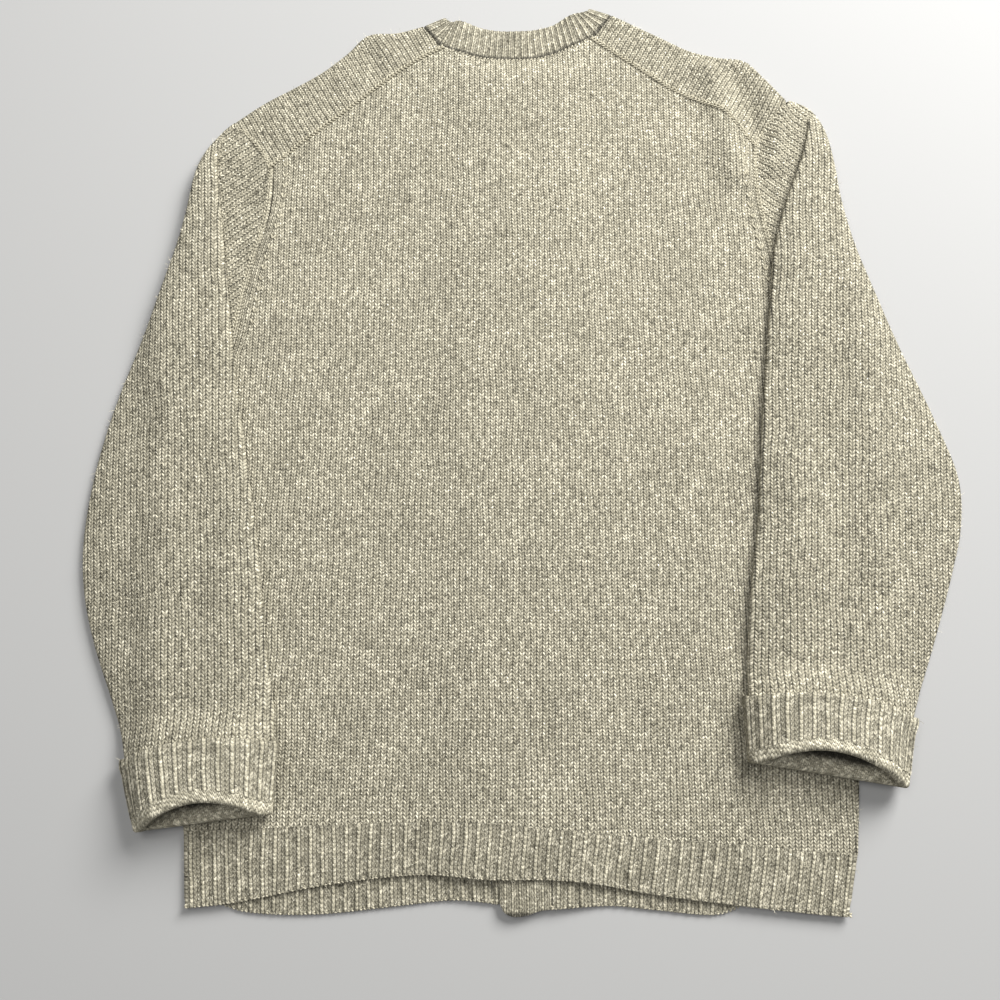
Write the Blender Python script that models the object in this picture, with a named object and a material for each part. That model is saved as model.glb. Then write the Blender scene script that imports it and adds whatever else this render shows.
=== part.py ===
"""A fisherman cardigan in chunky heathered wool, laid face down on a flat surface with its back up.

Seen from above, +Y runs from the hem to the collar, and +X is the wearer's right. Metres, +Z up.
Every knitted piece is a closed wall of its real thickness, built on a grid of points in the middle
of the cloth. The fronts lie on the surface, the back lies on them, and the sleeves are folded down
over the back with their ribbed cuffs turned up. The tables below are plan places in the garment's
own frame: X from its centre line, Y from the lowest point of its hem.
"""
import math
from collections import namedtuple

import bmesh
import bpy
import numpy as np

# Cloth
JERSEY = 0.0030             # thickness of the plain knit
HALF = JERSEY / 2
LAYER = 0.0035              # middle of one layer to the middle of the next
TURN = LAYER / 2            # radius of a fold, in the middle of the cloth
FOLD_THIN = 0.75            # the inner side of a tight fold is pressed to this share of its half
EDGE_PULL = 0.0003          # each seam edge stands back this far, measured along its own panel
RIB_RELIEF = 0.0009         # height of the ribs on hem and cuffs
RIB_SUNK = 0.0006           # their valleys lie this far below the plain knit
BAND_RELIEF = 0.0005        # height of the finer ribs on bands and collar
FRONT_Z = HALF              # middle of the cloth, first layer
BACK_Z = FRONT_Z + LAYER    # middle of the cloth, second layer

# Body
HEM_RIB_PITCH = 0.0088
FRONT_RIB_TOP = 0.052
SIDE_ROWS = 6               # rows of the grid between the hem rib and the underarm
ROLL_STEPS = 3              # columns round a rolled side edge

# Button bands: the left one lies under the right one, as on a man's cardigan seen from behind
LEFT_BAND = (-0.020, 0.018)
RIGHT_BAND = (-0.014, 0.024)
BAND_TOP = 0.6440
BAND_RIB_COUNT = 6
BAND_BELOW = 0.0008         # cloth below and above the middle of a band
BAND_ABOVE = 0.0007
LEFT_BAND_SEAM_Z = 0.0018   # middle of the left band at its seam, then over the buttons
LEFT_BAND_Z = 0.0034
RIGHT_BAND_Z = 0.0057
RIGHT_BAND_SEAM_Z = 0.0040
BAND_SLOPE = 0.0055         # width over which a band steps up from its seam

BUTTON_COUNT = 6
BUTTON_RADIUS = 0.0100
BUTTON_THICKNESS = 0.0022
BUTTON_RIM = 0.0016
BUTTON_WELL_DEPTH = 0.0005
BUTTON_HOLE_RADIUS = 0.0011
BUTTON_HOLE_SPACING = 0.0040
BUTTON_SIDES = 14
FIRST_BUTTON_Y = 0.030
LAST_BUTTON_Y = 0.620

# The ridge that the doubled bands press up through the back
RIDGE_HEIGHT = 0.0036
RIDGE_FROM, RIDGE_TO = -0.026, 0.034
RIDGE_SLOPE = 0.055
RIDGE_END = 0.700
FRONT_SLOPE = 0.045         # width over which a front rises to its band

# Sleeves and cuffs
SLEEVE_ROWS = 12            # rows of the grid above the cuff
LOOP_UNDER, LOOP_OVER, LOOP_TURN = 7, 9, 3
EDGE_HOLLOW = 0.0006        # daylight between the layers at a sleeve's folded edges
MOUTH_HOLLOW = 0.0020       # and how much more there is at its mouth
THIN_END, THIN_PLACES = 0.3, 2.0        # a sleeve's top end is thin, and sunk in the sleeve head,
SHOULDER_SINK, SINK_PLACES = 0.0029, 2.2    # where tube and head are one cloth
DROP = 0.035                # width over which a sleeve comes down from the body to the surface
BODY_REACH = 0.011
CUFF_LIFT = LAYER           # the turned cuff lies under the sleeve too
CUFF_LIFT_SLOPE = 0.028
TURNED_JERSEY = 0.008       # plain knit that is turned up with the cuff
CUFF_RIB_COUNT = 22         # tops and valleys across its upper side
CUFF_ROWS = 4
ARCH_LENGTH = 0.110

YARN = {"oatmeal": (0.46, 0.43, 0.33), "band": (0.48, 0.45, 0.35)}
HORN = (0.055, 0.035, 0.022)

SideRow = namedtuple("SideRow", "y left_x right_x")
HemRow = namedtuple("HemRow", "x edge_y top_y")
EdgeRow = namedtuple("EdgeRow", "x edge_y")
ArmRow = namedtuple("ArmRow", "back_x back_y front_x front_y outer_x outer_y")
ShoulderRow = namedtuple("ShoulderRow", "fold_x fold_y seam_x seam_y")
NeckRow = namedtuple("NeckRow", "free_x free_y seam_x seam_y")
SleeveRow = namedtuple("SleeveRow", "outer_x outer_y inner_x inner_y hollow")

# Side seams, from hem to underarm
SIDES = [
    SideRow(0.003, -0.244, 0.241),
    SideRow(0.045, -0.247, 0.250),
    SideRow(0.085, -0.250, 0.254),
    SideRow(0.200, -0.256, 0.258),
    SideRow(0.300, -0.260, 0.261),
    SideRow(0.402, -0.262, 0.262),
]

# Back hem: its lower edge arches up off the front hem, its ribs end at top_y
BACK_HEM = [
    HemRow(-0.244, 0.006, 0.059),
    HemRow(-0.207, 0.010, 0.061),
    HemRow(-0.153, 0.020, 0.063),
    HemRow(-0.110, 0.026, 0.065),
    HemRow(-0.066, 0.029, 0.066),
    HemRow(-0.021, 0.026, 0.065),
    HemRow(0.021, 0.026, 0.061),
    HemRow(0.056, 0.023, 0.058),
    HemRow(0.102, 0.015, 0.054),
    HemRow(0.160, 0.008, 0.050),
    HemRow(0.206, 0.003, 0.046),
    HemRow(0.241, 0.000, 0.043),
]

LEFT_FRONT_EDGE = [
    EdgeRow(-0.244, 0.010),
    EdgeRow(-0.219, 0.008),
    EdgeRow(-0.200, 0.003),
    EdgeRow(-0.169, 0.001),
    EdgeRow(-0.137, 0.002),
    EdgeRow(-0.089, 0.007),
    EdgeRow(-0.050, 0.011),
    EdgeRow(-0.020, 0.009),
]
RIGHT_FRONT_EDGE = [
    EdgeRow(0.024, 0.005),
    EdgeRow(0.067, 0.007),
    EdgeRow(0.102, 0.004),
    EdgeRow(0.144, 0.001),
    EdgeRow(0.170, 0.009),
    EdgeRow(0.205, 0.011),
    EdgeRow(0.241, 0.008),
]
LEFT_BAND_EDGE = [EdgeRow(-0.020, 0.008), EdgeRow(0.000, 0.009), EdgeRow(0.018, 0.010)]
RIGHT_BAND_EDGE = [
    EdgeRow(-0.014, 0.009),
    EdgeRow(-0.011, 0.003),
    EdgeRow(-0.004, 0.000),
    EdgeRow(0.006, 0.001),
    EdgeRow(0.015, 0.004),
    EdgeRow(0.024, 0.005),
]

# One row for each section across the armhole, from the underarm to the top of the shoulder:
# the seam on the back, the seam on the front, and the sleeve head's outer fold
LEFT_ARM = [
    ArmRow(-0.262, 0.402, -0.262, 0.402, -0.267, 0.404),
    ArmRow(-0.247, 0.410, -0.248, 0.410, -0.269, 0.416),
    ArmRow(-0.237, 0.428, -0.238, 0.428, -0.270, 0.432),
    ArmRow(-0.231, 0.452, -0.230, 0.452, -0.271, 0.455),
    ArmRow(-0.226, 0.485, -0.225, 0.485, -0.272, 0.487),
    ArmRow(-0.220, 0.513, -0.223, 0.513, -0.272, 0.515),
    ArmRow(-0.213, 0.538, -0.223, 0.540, -0.272, 0.542),
    ArmRow(-0.209, 0.565, -0.225, 0.570, -0.272, 0.572),
    ArmRow(-0.209, 0.596, -0.229, 0.603, -0.268, 0.604),
    ArmRow(-0.221, 0.617, -0.233, 0.622, -0.253, 0.627),
    ArmRow(-0.2375, 0.635, -0.2375, 0.635, -0.2414, 0.6385),
]
RIGHT_ARM = [
    ArmRow(0.262, 0.402, 0.262, 0.402, 0.267, 0.404),
    ArmRow(0.248, 0.411, 0.249, 0.411, 0.268, 0.418),
    ArmRow(0.237, 0.430, 0.239, 0.430, 0.269, 0.436),
    ArmRow(0.227, 0.455, 0.231, 0.456, 0.270, 0.458),
    ArmRow(0.218, 0.487, 0.226, 0.489, 0.270, 0.490),
    ArmRow(0.212, 0.518, 0.223, 0.520, 0.269, 0.522),
    ArmRow(0.206, 0.550, 0.222, 0.552, 0.269, 0.555),
    ArmRow(0.202, 0.585, 0.223, 0.585, 0.268, 0.590),
    ArmRow(0.204, 0.617, 0.226, 0.617, 0.266, 0.624),
    ArmRow(0.215, 0.635, 0.227, 0.637, 0.254, 0.649),
    ArmRow(0.2322, 0.655, 0.2322, 0.655, 0.2345, 0.6600),
]

# Shoulders, from armhole to collar: the folded edge, and the seam that sits behind it on the back
LEFT_SHOULDER = [
    ShoulderRow(-0.240, 0.639, -0.209, 0.596),
    ShoulderRow(-0.220, 0.654, -0.191, 0.612),
    ShoulderRow(-0.195, 0.669, -0.168, 0.631),
    ShoulderRow(-0.170, 0.685, -0.145, 0.650),
    ShoulderRow(-0.148, 0.704, -0.124, 0.668),
    ShoulderRow(-0.130, 0.722, -0.105, 0.684),
    ShoulderRow(-0.104, 0.725, -0.084, 0.699),
    ShoulderRow(-0.081, 0.732, -0.064, 0.710),
]
RIGHT_SHOULDER = [
    ShoulderRow(0.232, 0.660, 0.204, 0.617),
    ShoulderRow(0.217, 0.678, 0.192, 0.631),
    ShoulderRow(0.200, 0.695, 0.177, 0.647),
    ShoulderRow(0.177, 0.699, 0.156, 0.658),
    ShoulderRow(0.152, 0.706, 0.132, 0.671),
    ShoulderRow(0.126, 0.720, 0.110, 0.687),
    ShoulderRow(0.104, 0.732, 0.088, 0.703),
    ShoulderRow(0.084, 0.743, 0.066, 0.719),
]

# Neckband, from the buttoned end round the left front, the back and the right front
NECK_LEFT_FRONT = [
    NeckRow(0.018, 0.6695, 0.018, 0.6446),
    NeckRow(-0.001, 0.6690, -0.001, 0.6446),
    NeckRow(-0.017, 0.6700, -0.020, 0.6450),
    NeckRow(-0.036, 0.6760, -0.048, 0.6550),
    NeckRow(-0.053, 0.6920, -0.071, 0.6760),
    NeckRow(-0.060, 0.7140, -0.082, 0.7050),
    NeckRow(-0.062, 0.7410, -0.081, 0.7320),
]
NECK_BACK = [
    NeckRow(-0.062, 0.7410, -0.081, 0.7320),
    NeckRow(-0.056, 0.7355, -0.0725, 0.7200),
    NeckRow(-0.051, 0.7370, -0.064, 0.7100),
    NeckRow(-0.044, 0.7355, -0.050, 0.7050),
    NeckRow(-0.032, 0.7315, -0.036, 0.7015),
    NeckRow(-0.015, 0.7285, -0.017, 0.6995),
    NeckRow(0.001, 0.7285, 0.001, 0.6990),
    NeckRow(0.016, 0.7295, 0.019, 0.7005),
    NeckRow(0.032, 0.7340, 0.037, 0.7060),
    NeckRow(0.044, 0.7410, 0.052, 0.7120),
    NeckRow(0.0515, 0.7440, 0.066, 0.7190),
    NeckRow(0.0570, 0.7450, 0.075, 0.7300),
    NeckRow(0.064, 0.7500, 0.084, 0.7430),
]
NECK_RIGHT_FRONT = [
    NeckRow(0.064, 0.7500, 0.084, 0.7430),
    NeckRow(0.064, 0.7220, 0.086, 0.7130),
    NeckRow(0.057, 0.6990, 0.075, 0.6840),
    NeckRow(0.041, 0.6820, 0.053, 0.6610),
    NeckRow(0.021, 0.6730, 0.024, 0.6480),
    NeckRow(0.002, 0.6710, 0.002, 0.6460),
    NeckRow(-0.014, 0.6715, -0.014, 0.6460),
]
NECK_BELOW = 0.0013
NECK_ABOVE = 0.0010
NECK_FRONT_Z = NECK_BELOW
NECK_OVERLAP_Z = 0.0040     # the right end of the neckband lies on the left end
NECK_SAG = 0.0028           # the back of the neck sinks into the neck opening
NECK_RIB_PITCH = 0.0055
NECK_FRONT_ROWS = 7

# Sleeves, from the tip of the shoulder down: the folded edges in plan, and the daylight inside
LEFT_SLEEVE = [
    SleeveRow(-0.2520, 0.6240, -0.2470, 0.6270, 0.0000),
    SleeveRow(-0.2630, 0.6080, -0.2510, 0.6140, 0.0000),
    SleeveRow(-0.2705, 0.5850, -0.2515, 0.5910, 0.0004),
    SleeveRow(-0.2755, 0.5520, -0.2470, 0.5590, 0.0010),
    SleeveRow(-0.2830, 0.5160, -0.2420, 0.5230, 0.0018),
    SleeveRow(-0.3000, 0.4560, -0.2340, 0.4630, 0.0028),
    SleeveRow(-0.3205, 0.3960, -0.2245, 0.4000, 0.0036),
    SleeveRow(-0.3345, 0.3350, -0.2140, 0.3410, 0.0040),
    SleeveRow(-0.3400, 0.2780, -0.2035, 0.2820, 0.0044),
    SleeveRow(-0.3360, 0.2350, -0.1960, 0.2280, 0.0046),
    SleeveRow(-0.3250, 0.1960, -0.1905, 0.1860, 0.0048),
    SleeveRow(-0.3095, 0.1570, -0.1850, 0.1570, 0.0052),
    SleeveRow(-0.2970, 0.1240, -0.1820, 0.1360, 0.0058),
    SleeveRow(-0.2885, 0.0920, -0.1820, 0.1050, 0.0066),
    SleeveRow(-0.2785, 0.0610, -0.1840, 0.0730, 0.0074),
]
RIGHT_SLEEVE = [
    SleeveRow(0.2520, 0.6450, 0.2470, 0.6470, 0.0000),
    SleeveRow(0.2620, 0.6280, 0.2480, 0.6320, 0.0000),
    SleeveRow(0.2670, 0.5990, 0.2400, 0.6030, 0.0004),
    SleeveRow(0.2715, 0.5600, 0.2250, 0.5630, 0.0012),
    SleeveRow(0.2815, 0.5150, 0.2120, 0.5180, 0.0022),
    SleeveRow(0.2980, 0.4680, 0.2065, 0.4740, 0.0030),
    SleeveRow(0.3155, 0.4250, 0.2010, 0.4280, 0.0036),
    SleeveRow(0.3350, 0.3740, 0.1950, 0.3760, 0.0040),
    SleeveRow(0.3495, 0.3270, 0.1900, 0.3240, 0.0044),
    SleeveRow(0.3480, 0.2880, 0.1855, 0.2800, 0.0046),
    SleeveRow(0.3390, 0.2550, 0.1800, 0.2470, 0.0048),
    SleeveRow(0.3265, 0.2180, 0.1760, 0.2140, 0.0052),
    SleeveRow(0.3110, 0.1760, 0.1735, 0.1840, 0.0058),
    SleeveRow(0.2935, 0.1340, 0.1715, 0.1510, 0.0066),
    SleeveRow(0.2840, 0.0920, 0.1725, 0.1100, 0.0074),
]
MOUTH_ARCH = {"left": 0.016, "right": 0.018}   # how far the mouth's upper edge is pulled up
CUFF_HEIGHT = {"left": 0.048, "right": 0.046}


# ---------------------------------------------------------------- curves and fields

def smoothstep(value):
    """0 below 0, 1 above 1, and a smooth rise between."""
    value = np.clip(value, 0.0, 1.0)
    return value * value * (3 - 2 * value)


def blend(a, b, share):
    return a + (b - a) * share


def spline(points, places):
    """A smooth curve through points (one per whole number), read at the given places."""
    points = np.asarray(points, float)
    places = np.asarray(places, float)
    last = len(points) - 1
    start = np.clip(places.astype(int), 0, last - 1)
    share = (places - start)[:, None]
    before = points[np.maximum(start - 1, 0)]
    here, there = points[start], points[start + 1]
    after = points[np.minimum(start + 2, last)]
    leave, arrive = (there - before) / 2, (after - here) / 2
    square, cube = share**2, share**3
    return (
        (2 * cube - 3 * square + 1) * here
        + (cube - 2 * square + share) * leave
        + (3 * square - 2 * cube) * there
        + (cube - square) * arrive
    )


def edge_y(table, x, column="edge_y"):
    """Height of an edge table at x, read as straight runs between its rows."""
    return np.interp(x, [row.x for row in table], [getattr(row, column) for row in table])


def side_x(y, side):
    column = "left_x" if side == "left" else "right_x"
    return np.interp(y, [row.y for row in SIDES], [getattr(row, column) for row in SIDES])


def ridge(x, y):
    """How far the doubled bands lift the back."""
    from_left = smoothstep((x - RIDGE_FROM + RIDGE_SLOPE) / RIDGE_SLOPE)
    from_right = smoothstep((RIDGE_TO + RIDGE_SLOPE - x) / RIDGE_SLOPE)
    return RIDGE_HEIGHT * np.minimum(from_left, from_right) * smoothstep((RIDGE_END - y) / 0.025)


def neck_sag(x, y):
    """How far the back sinks where the neck opening leaves nothing under it."""
    return NECK_SAG * smoothstep((y - 0.684) / 0.018) * smoothstep((0.052 - abs(x - 0.002)) / 0.024)


def back_z(x, y):
    return BACK_Z + ridge(x, y) - neck_sag(x, y)


def front_z(x, side):
    """Middle of a front panel, which rises to the button band it is sewn to."""
    if side == "left":
        return FRONT_Z + 0.0011 * smoothstep((x - LEFT_BAND[0]) / FRONT_SLOPE + 1)
    return FRONT_Z + 0.0032 * smoothstep((RIGHT_BAND[1] - x) / FRONT_SLOPE + 1)


def inside_body(x, y, side):
    """Distance inside the body's outline, negative outside it, for what lies over that side."""
    arm = LEFT_ARM if side == "left" else RIGHT_ARM
    ys = [row.y for row in SIDES] + [row.outer_y for row in arm]
    column = "left_x" if side == "left" else "right_x"
    xs = [abs(getattr(row, column)) for row in SIDES] + [abs(row.outer_x) for row in arm]
    return np.interp(y, ys, xs) - abs(x)


def support(x, y, side):
    """Height of what a sleeve lies on: the back, the surface beyond it, and a soft slope between."""
    depth = inside_body(x, y, side) + BODY_REACH
    return 2 * LAYER * (1 - smoothstep(-depth / DROP))


# ---------------------------------------------------------------- meshes

def coons(bottom, top, left, right, shares):
    """Fills four boundary lines with rows and columns. shares gives each column's place across."""
    rows = np.linspace(0, 1, len(left))[:, None, None]
    columns = np.asarray(shares)[None, :, None]
    ruled_up = blend(bottom[None], top[None], rows)
    ruled_across = blend(left[:, None], right[:, None], columns)
    corners = blend(
        blend(bottom[0], bottom[-1], columns), blend(top[0], top[-1], columns), rows
    )
    return ruled_up + ruled_across - corners


def pull_in(grid, sides):
    """Moves the named edges of a grid in by EDGE_PULL, along the grid, to part the seams."""
    grid = grid.copy()
    edges = {"bottom": (0, 1, 0), "top": (-1, -2, 0), "left": (0, 1, 1), "right": (-1, -2, 1)}
    for name in sides:
        edge, inner, axis = edges[name]
        outer_row = grid[edge] if axis == 0 else grid[:, edge]
        inner_row = grid[inner] if axis == 0 else grid[:, inner]
        step = inner_row - outer_row
        outer_row += step / np.linalg.norm(step, axis=1, keepdims=True) * EDGE_PULL
    return grid


def tangents(grid, closed=False):
    """Unit directions along the first axis of a grid, whatever the spacing of its points."""
    if closed:
        grid = np.concatenate([grid[-1:], grid, grid[:1]])
    step = np.diff(grid, axis=0)
    step = step / np.linalg.norm(step, axis=-1, keepdims=True)
    if closed:
        return step[:-1] + step[1:]
    first = 1.5 * step[:1] - 0.5 * step[1:2] if len(step) > 1 else step
    last = 1.5 * step[-1:] - 0.5 * step[-2:-1] if len(step) > 1 else step
    return np.concatenate([first, step[:-1] + step[1:], last])


def normals_of(grid, closed):
    """Unit normals at the points of a grid. closed joins the last column to the first."""
    across = np.swapaxes(tangents(np.swapaxes(grid, 0, 1), closed), 0, 1)
    normal = np.cross(across, tangents(grid))
    return normal / np.linalg.norm(normal, axis=2, keepdims=True)


def fabric(name, colour, roughness=0.95):
    material = bpy.data.materials.new(name)
    material.use_nodes = True
    shader = material.node_tree.nodes["Principled BSDF"]
    shader.inputs["Base Color"].default_value = (*colour, 1.0)
    shader.inputs["Roughness"].default_value = roughness
    shader.inputs["Metallic"].default_value = 0.0
    return material


def add_mesh(name, points, faces, material):
    mesh = bpy.data.meshes.new(name)
    mesh.from_pydata([tuple(p) for p in points], [], faces)
    shape = bmesh.new()
    shape.from_mesh(mesh)
    bmesh.ops.recalc_face_normals(shape, faces=shape.faces)
    shape.to_mesh(mesh)
    shape.free()
    mesh.materials.append(material)
    mesh.shade_smooth()
    mesh.set_sharp_from_angle(angle=math.radians(50))
    thing = bpy.data.objects.new(name, mesh)
    bpy.context.scene.collection.objects.link(thing)
    return thing


def skin_faces(rows, columns, closed, first):
    """Quads of one skin of a wall whose points start at index first."""
    reach = columns if closed else columns - 1
    return [
        (
            first + i * columns + j,
            first + i * columns + (j + 1) % columns,
            first + (i + 1) * columns + (j + 1) % columns,
            first + (i + 1) * columns + j,
        )
        for i in range(rows - 1)
        for j in range(reach)
    ]


def wall(name, grid, above, below, material, closed=False, cap_from=None):
    """A closed wall of cloth. The grid is its middle; above and below are how far each skin is from it.

    cap_from makes a blind tube: its outer skin is closed at the first row, and its inner skin is
    closed at row cap_from.
    """
    rows, columns = grid.shape[:2]
    normal = normals_of(grid, closed)
    spread = np.ones((rows, columns, 1))
    outer = grid + normal * spread * np.asarray(above).reshape(-1, columns, 1)
    inner = (grid - normal * spread * np.asarray(below).reshape(-1, columns, 1))[cap_from or 0:]
    points = np.concatenate([outer.reshape(-1, 3), inner.reshape(-1, 3)])
    second = rows * columns
    inner_rows = len(inner)
    faces = skin_faces(rows, columns, closed, 0)
    faces += [face[::-1] for face in skin_faces(inner_rows, columns, closed, second)]
    last_outer, last_inner = (rows - 1) * columns, second + (inner_rows - 1) * columns
    rims = [(last_outer, last_inner)]
    if cap_from is None:
        rims.append((0, second))
    for start, other in rims:
        for j in range(columns if closed else columns - 1):
            k = (j + 1) % columns
            faces.append((start + j, start + k, other + k, other + j))
    if not closed:
        for j in (0, columns - 1):
            for i in range(rows - 1):
                low, high = i * columns + j, (i + 1) * columns + j
                faces.append((low, high, second + high, second + low))
    if cap_from is not None:
        faces.append(tuple(range(columns)))
        faces.append(tuple(second + j for j in range(columns)))
    return add_mesh(name, points, faces, material)


def rolled(plan, z, roll, direction, sides):
    """Adds the columns of a rolled edge to a flat panel.

    plan is its grid in plan, z its height, roll is 1 in rows whose edge turns through a quarter
    circle towards the seam and 0 where it stays flat, and direction is 1 for up and -1 for down.
    """
    quarter = math.pi / 2 * TURN - EDGE_PULL
    bend = np.maximum(np.asarray(roll, float), 1e-4) / TURN
    arcs = []
    for side in sides:
        edge, inner = (plan[:, 0], plan[:, 1]) if side == "left" else (plan[:, -1], plan[:, -2])
        inward = (inner - edge) / np.linalg.norm(inner - edge, axis=1, keepdims=True)
        foot = edge + inward * (np.sin(bend * quarter) / bend)[:, None]
        level = z[:, 0] if side == "left" else z[:, -1]
        columns = []
        for step in range(ROLL_STEPS + 1):
            run = quarter * step / ROLL_STEPS
            out = (np.sin(bend * run) / bend)[:, None]
            height = level + direction * (1 - np.cos(bend * run)) / bend
            columns.append(np.column_stack([foot - inward * out, height]))
        arcs.append(np.stack(columns, axis=1))
    middle = np.dstack([plan, z])
    if "left" in sides:
        middle = np.concatenate([arcs[0][:, ::-1], middle[:, 1:]], axis=1)
    if "right" in sides:
        middle = np.concatenate([middle[:, :-1], arcs[-1]], axis=1)
    return middle


def taper(rows, columns, amount, ends=("bottom",)):
    """Cloth thickness share over a grid: an open edge is thinner, so it reads as rounded."""
    share = np.ones((rows, columns))
    for end in ends:
        share[0 if end == "bottom" else -1] = amount
    return share


# ---------------------------------------------------------------- body

def arm_line(arm, kind, rows=None):
    names = (kind + "_x", kind + "_y")
    return np.array([[getattr(row, n) for n in names] for row in arm[:rows]])


def side_line(side, low_y, high_y, rows):
    """The cloth's middle along a rolled side edge."""
    ys = np.linspace(low_y, high_y, rows)
    sign = -1 if side == "left" else 1
    return np.column_stack([side_x(ys, side) - sign * HALF, ys])


def roll_of(rows, side_rows):
    """1 along the side seam, easing to 0 at the underarm and beyond."""
    roll = np.zeros(rows)
    roll[:side_rows] = 1.0
    return roll


def make_back(material):
    """The back: side seams, armholes, shoulder seams and neck edge bound one knitted panel."""
    corner = len(LEFT_ARM) - 2
    shoulder = [(r.seam_x, r.seam_y) for r in LEFT_SHOULDER]
    neck = [(r.seam_x, r.seam_y) for r in NECK_BACK[3:-3]]
    other = [(r.seam_x, r.seam_y) for r in reversed(RIGHT_SHOULDER)]
    top = np.array(shoulder + neck + other)
    shares = (top[:, 0] - top[0, 0]) / (top[-1, 0] - top[0, 0])
    edges = {}
    for side, arm in (("left", LEFT_ARM), ("right", RIGHT_ARM)):
        low = edge_y(BACK_HEM, -0.244 if side == "left" else 0.241, "top_y")
        edges[side] = np.concatenate(
            [side_line(side, low, arm[0].back_y, SIDE_ROWS + 1)[:-1], arm_line(arm, "back", corner)]
        )
    xs = blend(edges["left"][0, 0], edges["right"][0, 0], shares)
    bottom = np.column_stack([xs, edge_y(BACK_HEM, xs, "top_y")])
    plan = coons(bottom, top, edges["left"], edges["right"], shares)
    plan = pull_in(plan, ["bottom", "top"])
    z = back_z(plan[..., 0], plan[..., 1])
    grid = rolled(plan, z, roll_of(len(plan), SIDE_ROWS), -1, ["left", "right"])
    grid[SIDE_ROWS:] = pull_in(grid[SIDE_ROWS:], ["left", "right", "left", "right"])
    return wall("back", grid, HALF * np.ones(grid.shape[:2]), HALF * np.ones(grid.shape[:2]), material)


def fold_frame(table):
    """A shoulder fold: its line drawn in by the cloth's reach, and the way out of it, in plan."""
    line = np.array([(row.fold_x, row.fold_y) for row in table])
    along = np.gradient(line, axis=0)
    out = np.column_stack([-along[:, 1], along[:, 0]])
    out *= np.sign(out[:, 1:2])
    out /= np.linalg.norm(out, axis=1, keepdims=True)
    return line - out * (TURN + HALF), out


def turn_rows(line, out, low_z, high_z, steps):
    """Rows round a fold from one layer up to the next, without its first and last row."""
    low = np.broadcast_to(low_z, len(line))
    radius = (high_z - low) / 2
    rows = []
    for step in range(1, steps):
        angle = math.pi * step / steps
        place = line + out * radius[:, None] * math.sin(angle)
        rows.append(np.column_stack([place, low + radius * (1 - math.cos(angle))]))
    return rows


def make_front(side, material):
    """A front: up the surface from the hem, over the shoulder fold and down to the shoulder seam."""
    left = side == "left"
    arm, shoulder = (LEFT_ARM, LEFT_SHOULDER) if left else (RIGHT_ARM, RIGHT_SHOULDER)
    neck_rows = NECK_LEFT_FRONT[2:] if left else NECK_RIGHT_FRONT[4::-1]
    neck = np.array([(r.seam_x, r.seam_y) for r in neck_rows])
    fold, out = fold_frame(shoulder)
    outer = np.concatenate(
        [side_line(side, FRONT_RIB_TOP, arm[0].front_y, SIDE_ROWS + 1)[:-1], arm_line(arm, "front")]
    )
    centre_x = LEFT_BAND[0] if left else RIGHT_BAND[1]
    straight = len(outer) - len(neck)
    ys = np.linspace(FRONT_RIB_TOP, neck[0, 1], straight, endpoint=False)
    centre = np.concatenate([np.column_stack([np.full(straight, centre_x), ys]), neck])
    outer[-1], centre[-1] = fold[0], fold[-1]
    shares = np.linspace(0, 1, len(shoulder))
    bottom = blend(outer[0], centre[0], shares[:, None])
    floor = pull_in(coons(bottom, fold, outer, centre, shares), ["bottom", "right", "right"])
    floor_z = front_z(floor[..., 0], side)
    wrap_arm = arm_line(arm, "back")[:-4:-1].copy()
    wrap_arm[0] = fold[0]
    wrap_neck_rows = NECK_BACK[:3] if left else NECK_BACK[:-4:-1]
    wrap_neck = np.array([(r.seam_x, r.seam_y) for r in wrap_neck_rows])
    wrap_neck[0] = fold[-1]
    seam = np.array([(row.seam_x, row.seam_y) for row in shoulder])
    wrap = pull_in(coons(fold, seam, wrap_arm, wrap_neck, shares), ["top", "right", "right"])
    turned = turn_rows(floor[-1], out, floor_z[-1], np.full(len(out), BACK_Z), 4)
    roll = roll_of(len(floor), SIDE_ROWS)
    grid = rolled(floor, floor_z, roll, 1, ["left"])
    extra = grid.shape[1] - floor.shape[1]

    def widened(row):
        """A row of the fold or the wrap, given the columns that the rolled edge added."""
        ends = [blend(row[0], row[1], k / (extra + 1) * 0.3) for k in range(extra + 1)]
        return np.concatenate([ends, row[1:]])

    flat_wrap = [np.column_stack([row, np.full(len(row), BACK_Z)]) for row in wrap]
    more = np.array([widened(row) for row in [*turned, *flat_wrap]])
    last = np.column_stack([floor[-1], floor_z[-1]])
    grid[-1] = widened(last)
    grid = np.concatenate([grid, more])
    grid[SIDE_ROWS:] = pull_in(grid[SIDE_ROWS:], ["left"])
    thickness = HALF * np.ones(grid.shape[:2])
    return wall(f"front_{side}", grid, thickness, thickness, material)


# ---------------------------------------------------------------- ribs

def rib_columns(start, end, pitch):
    """Places of rib tops and valleys, and 1 at a top or 0 in a valley."""
    count = max(1, round(abs(end - start) / pitch))
    places = np.linspace(start, end, 2 * count + 1)
    return places, np.arange(2 * count + 1) % 2


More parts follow.
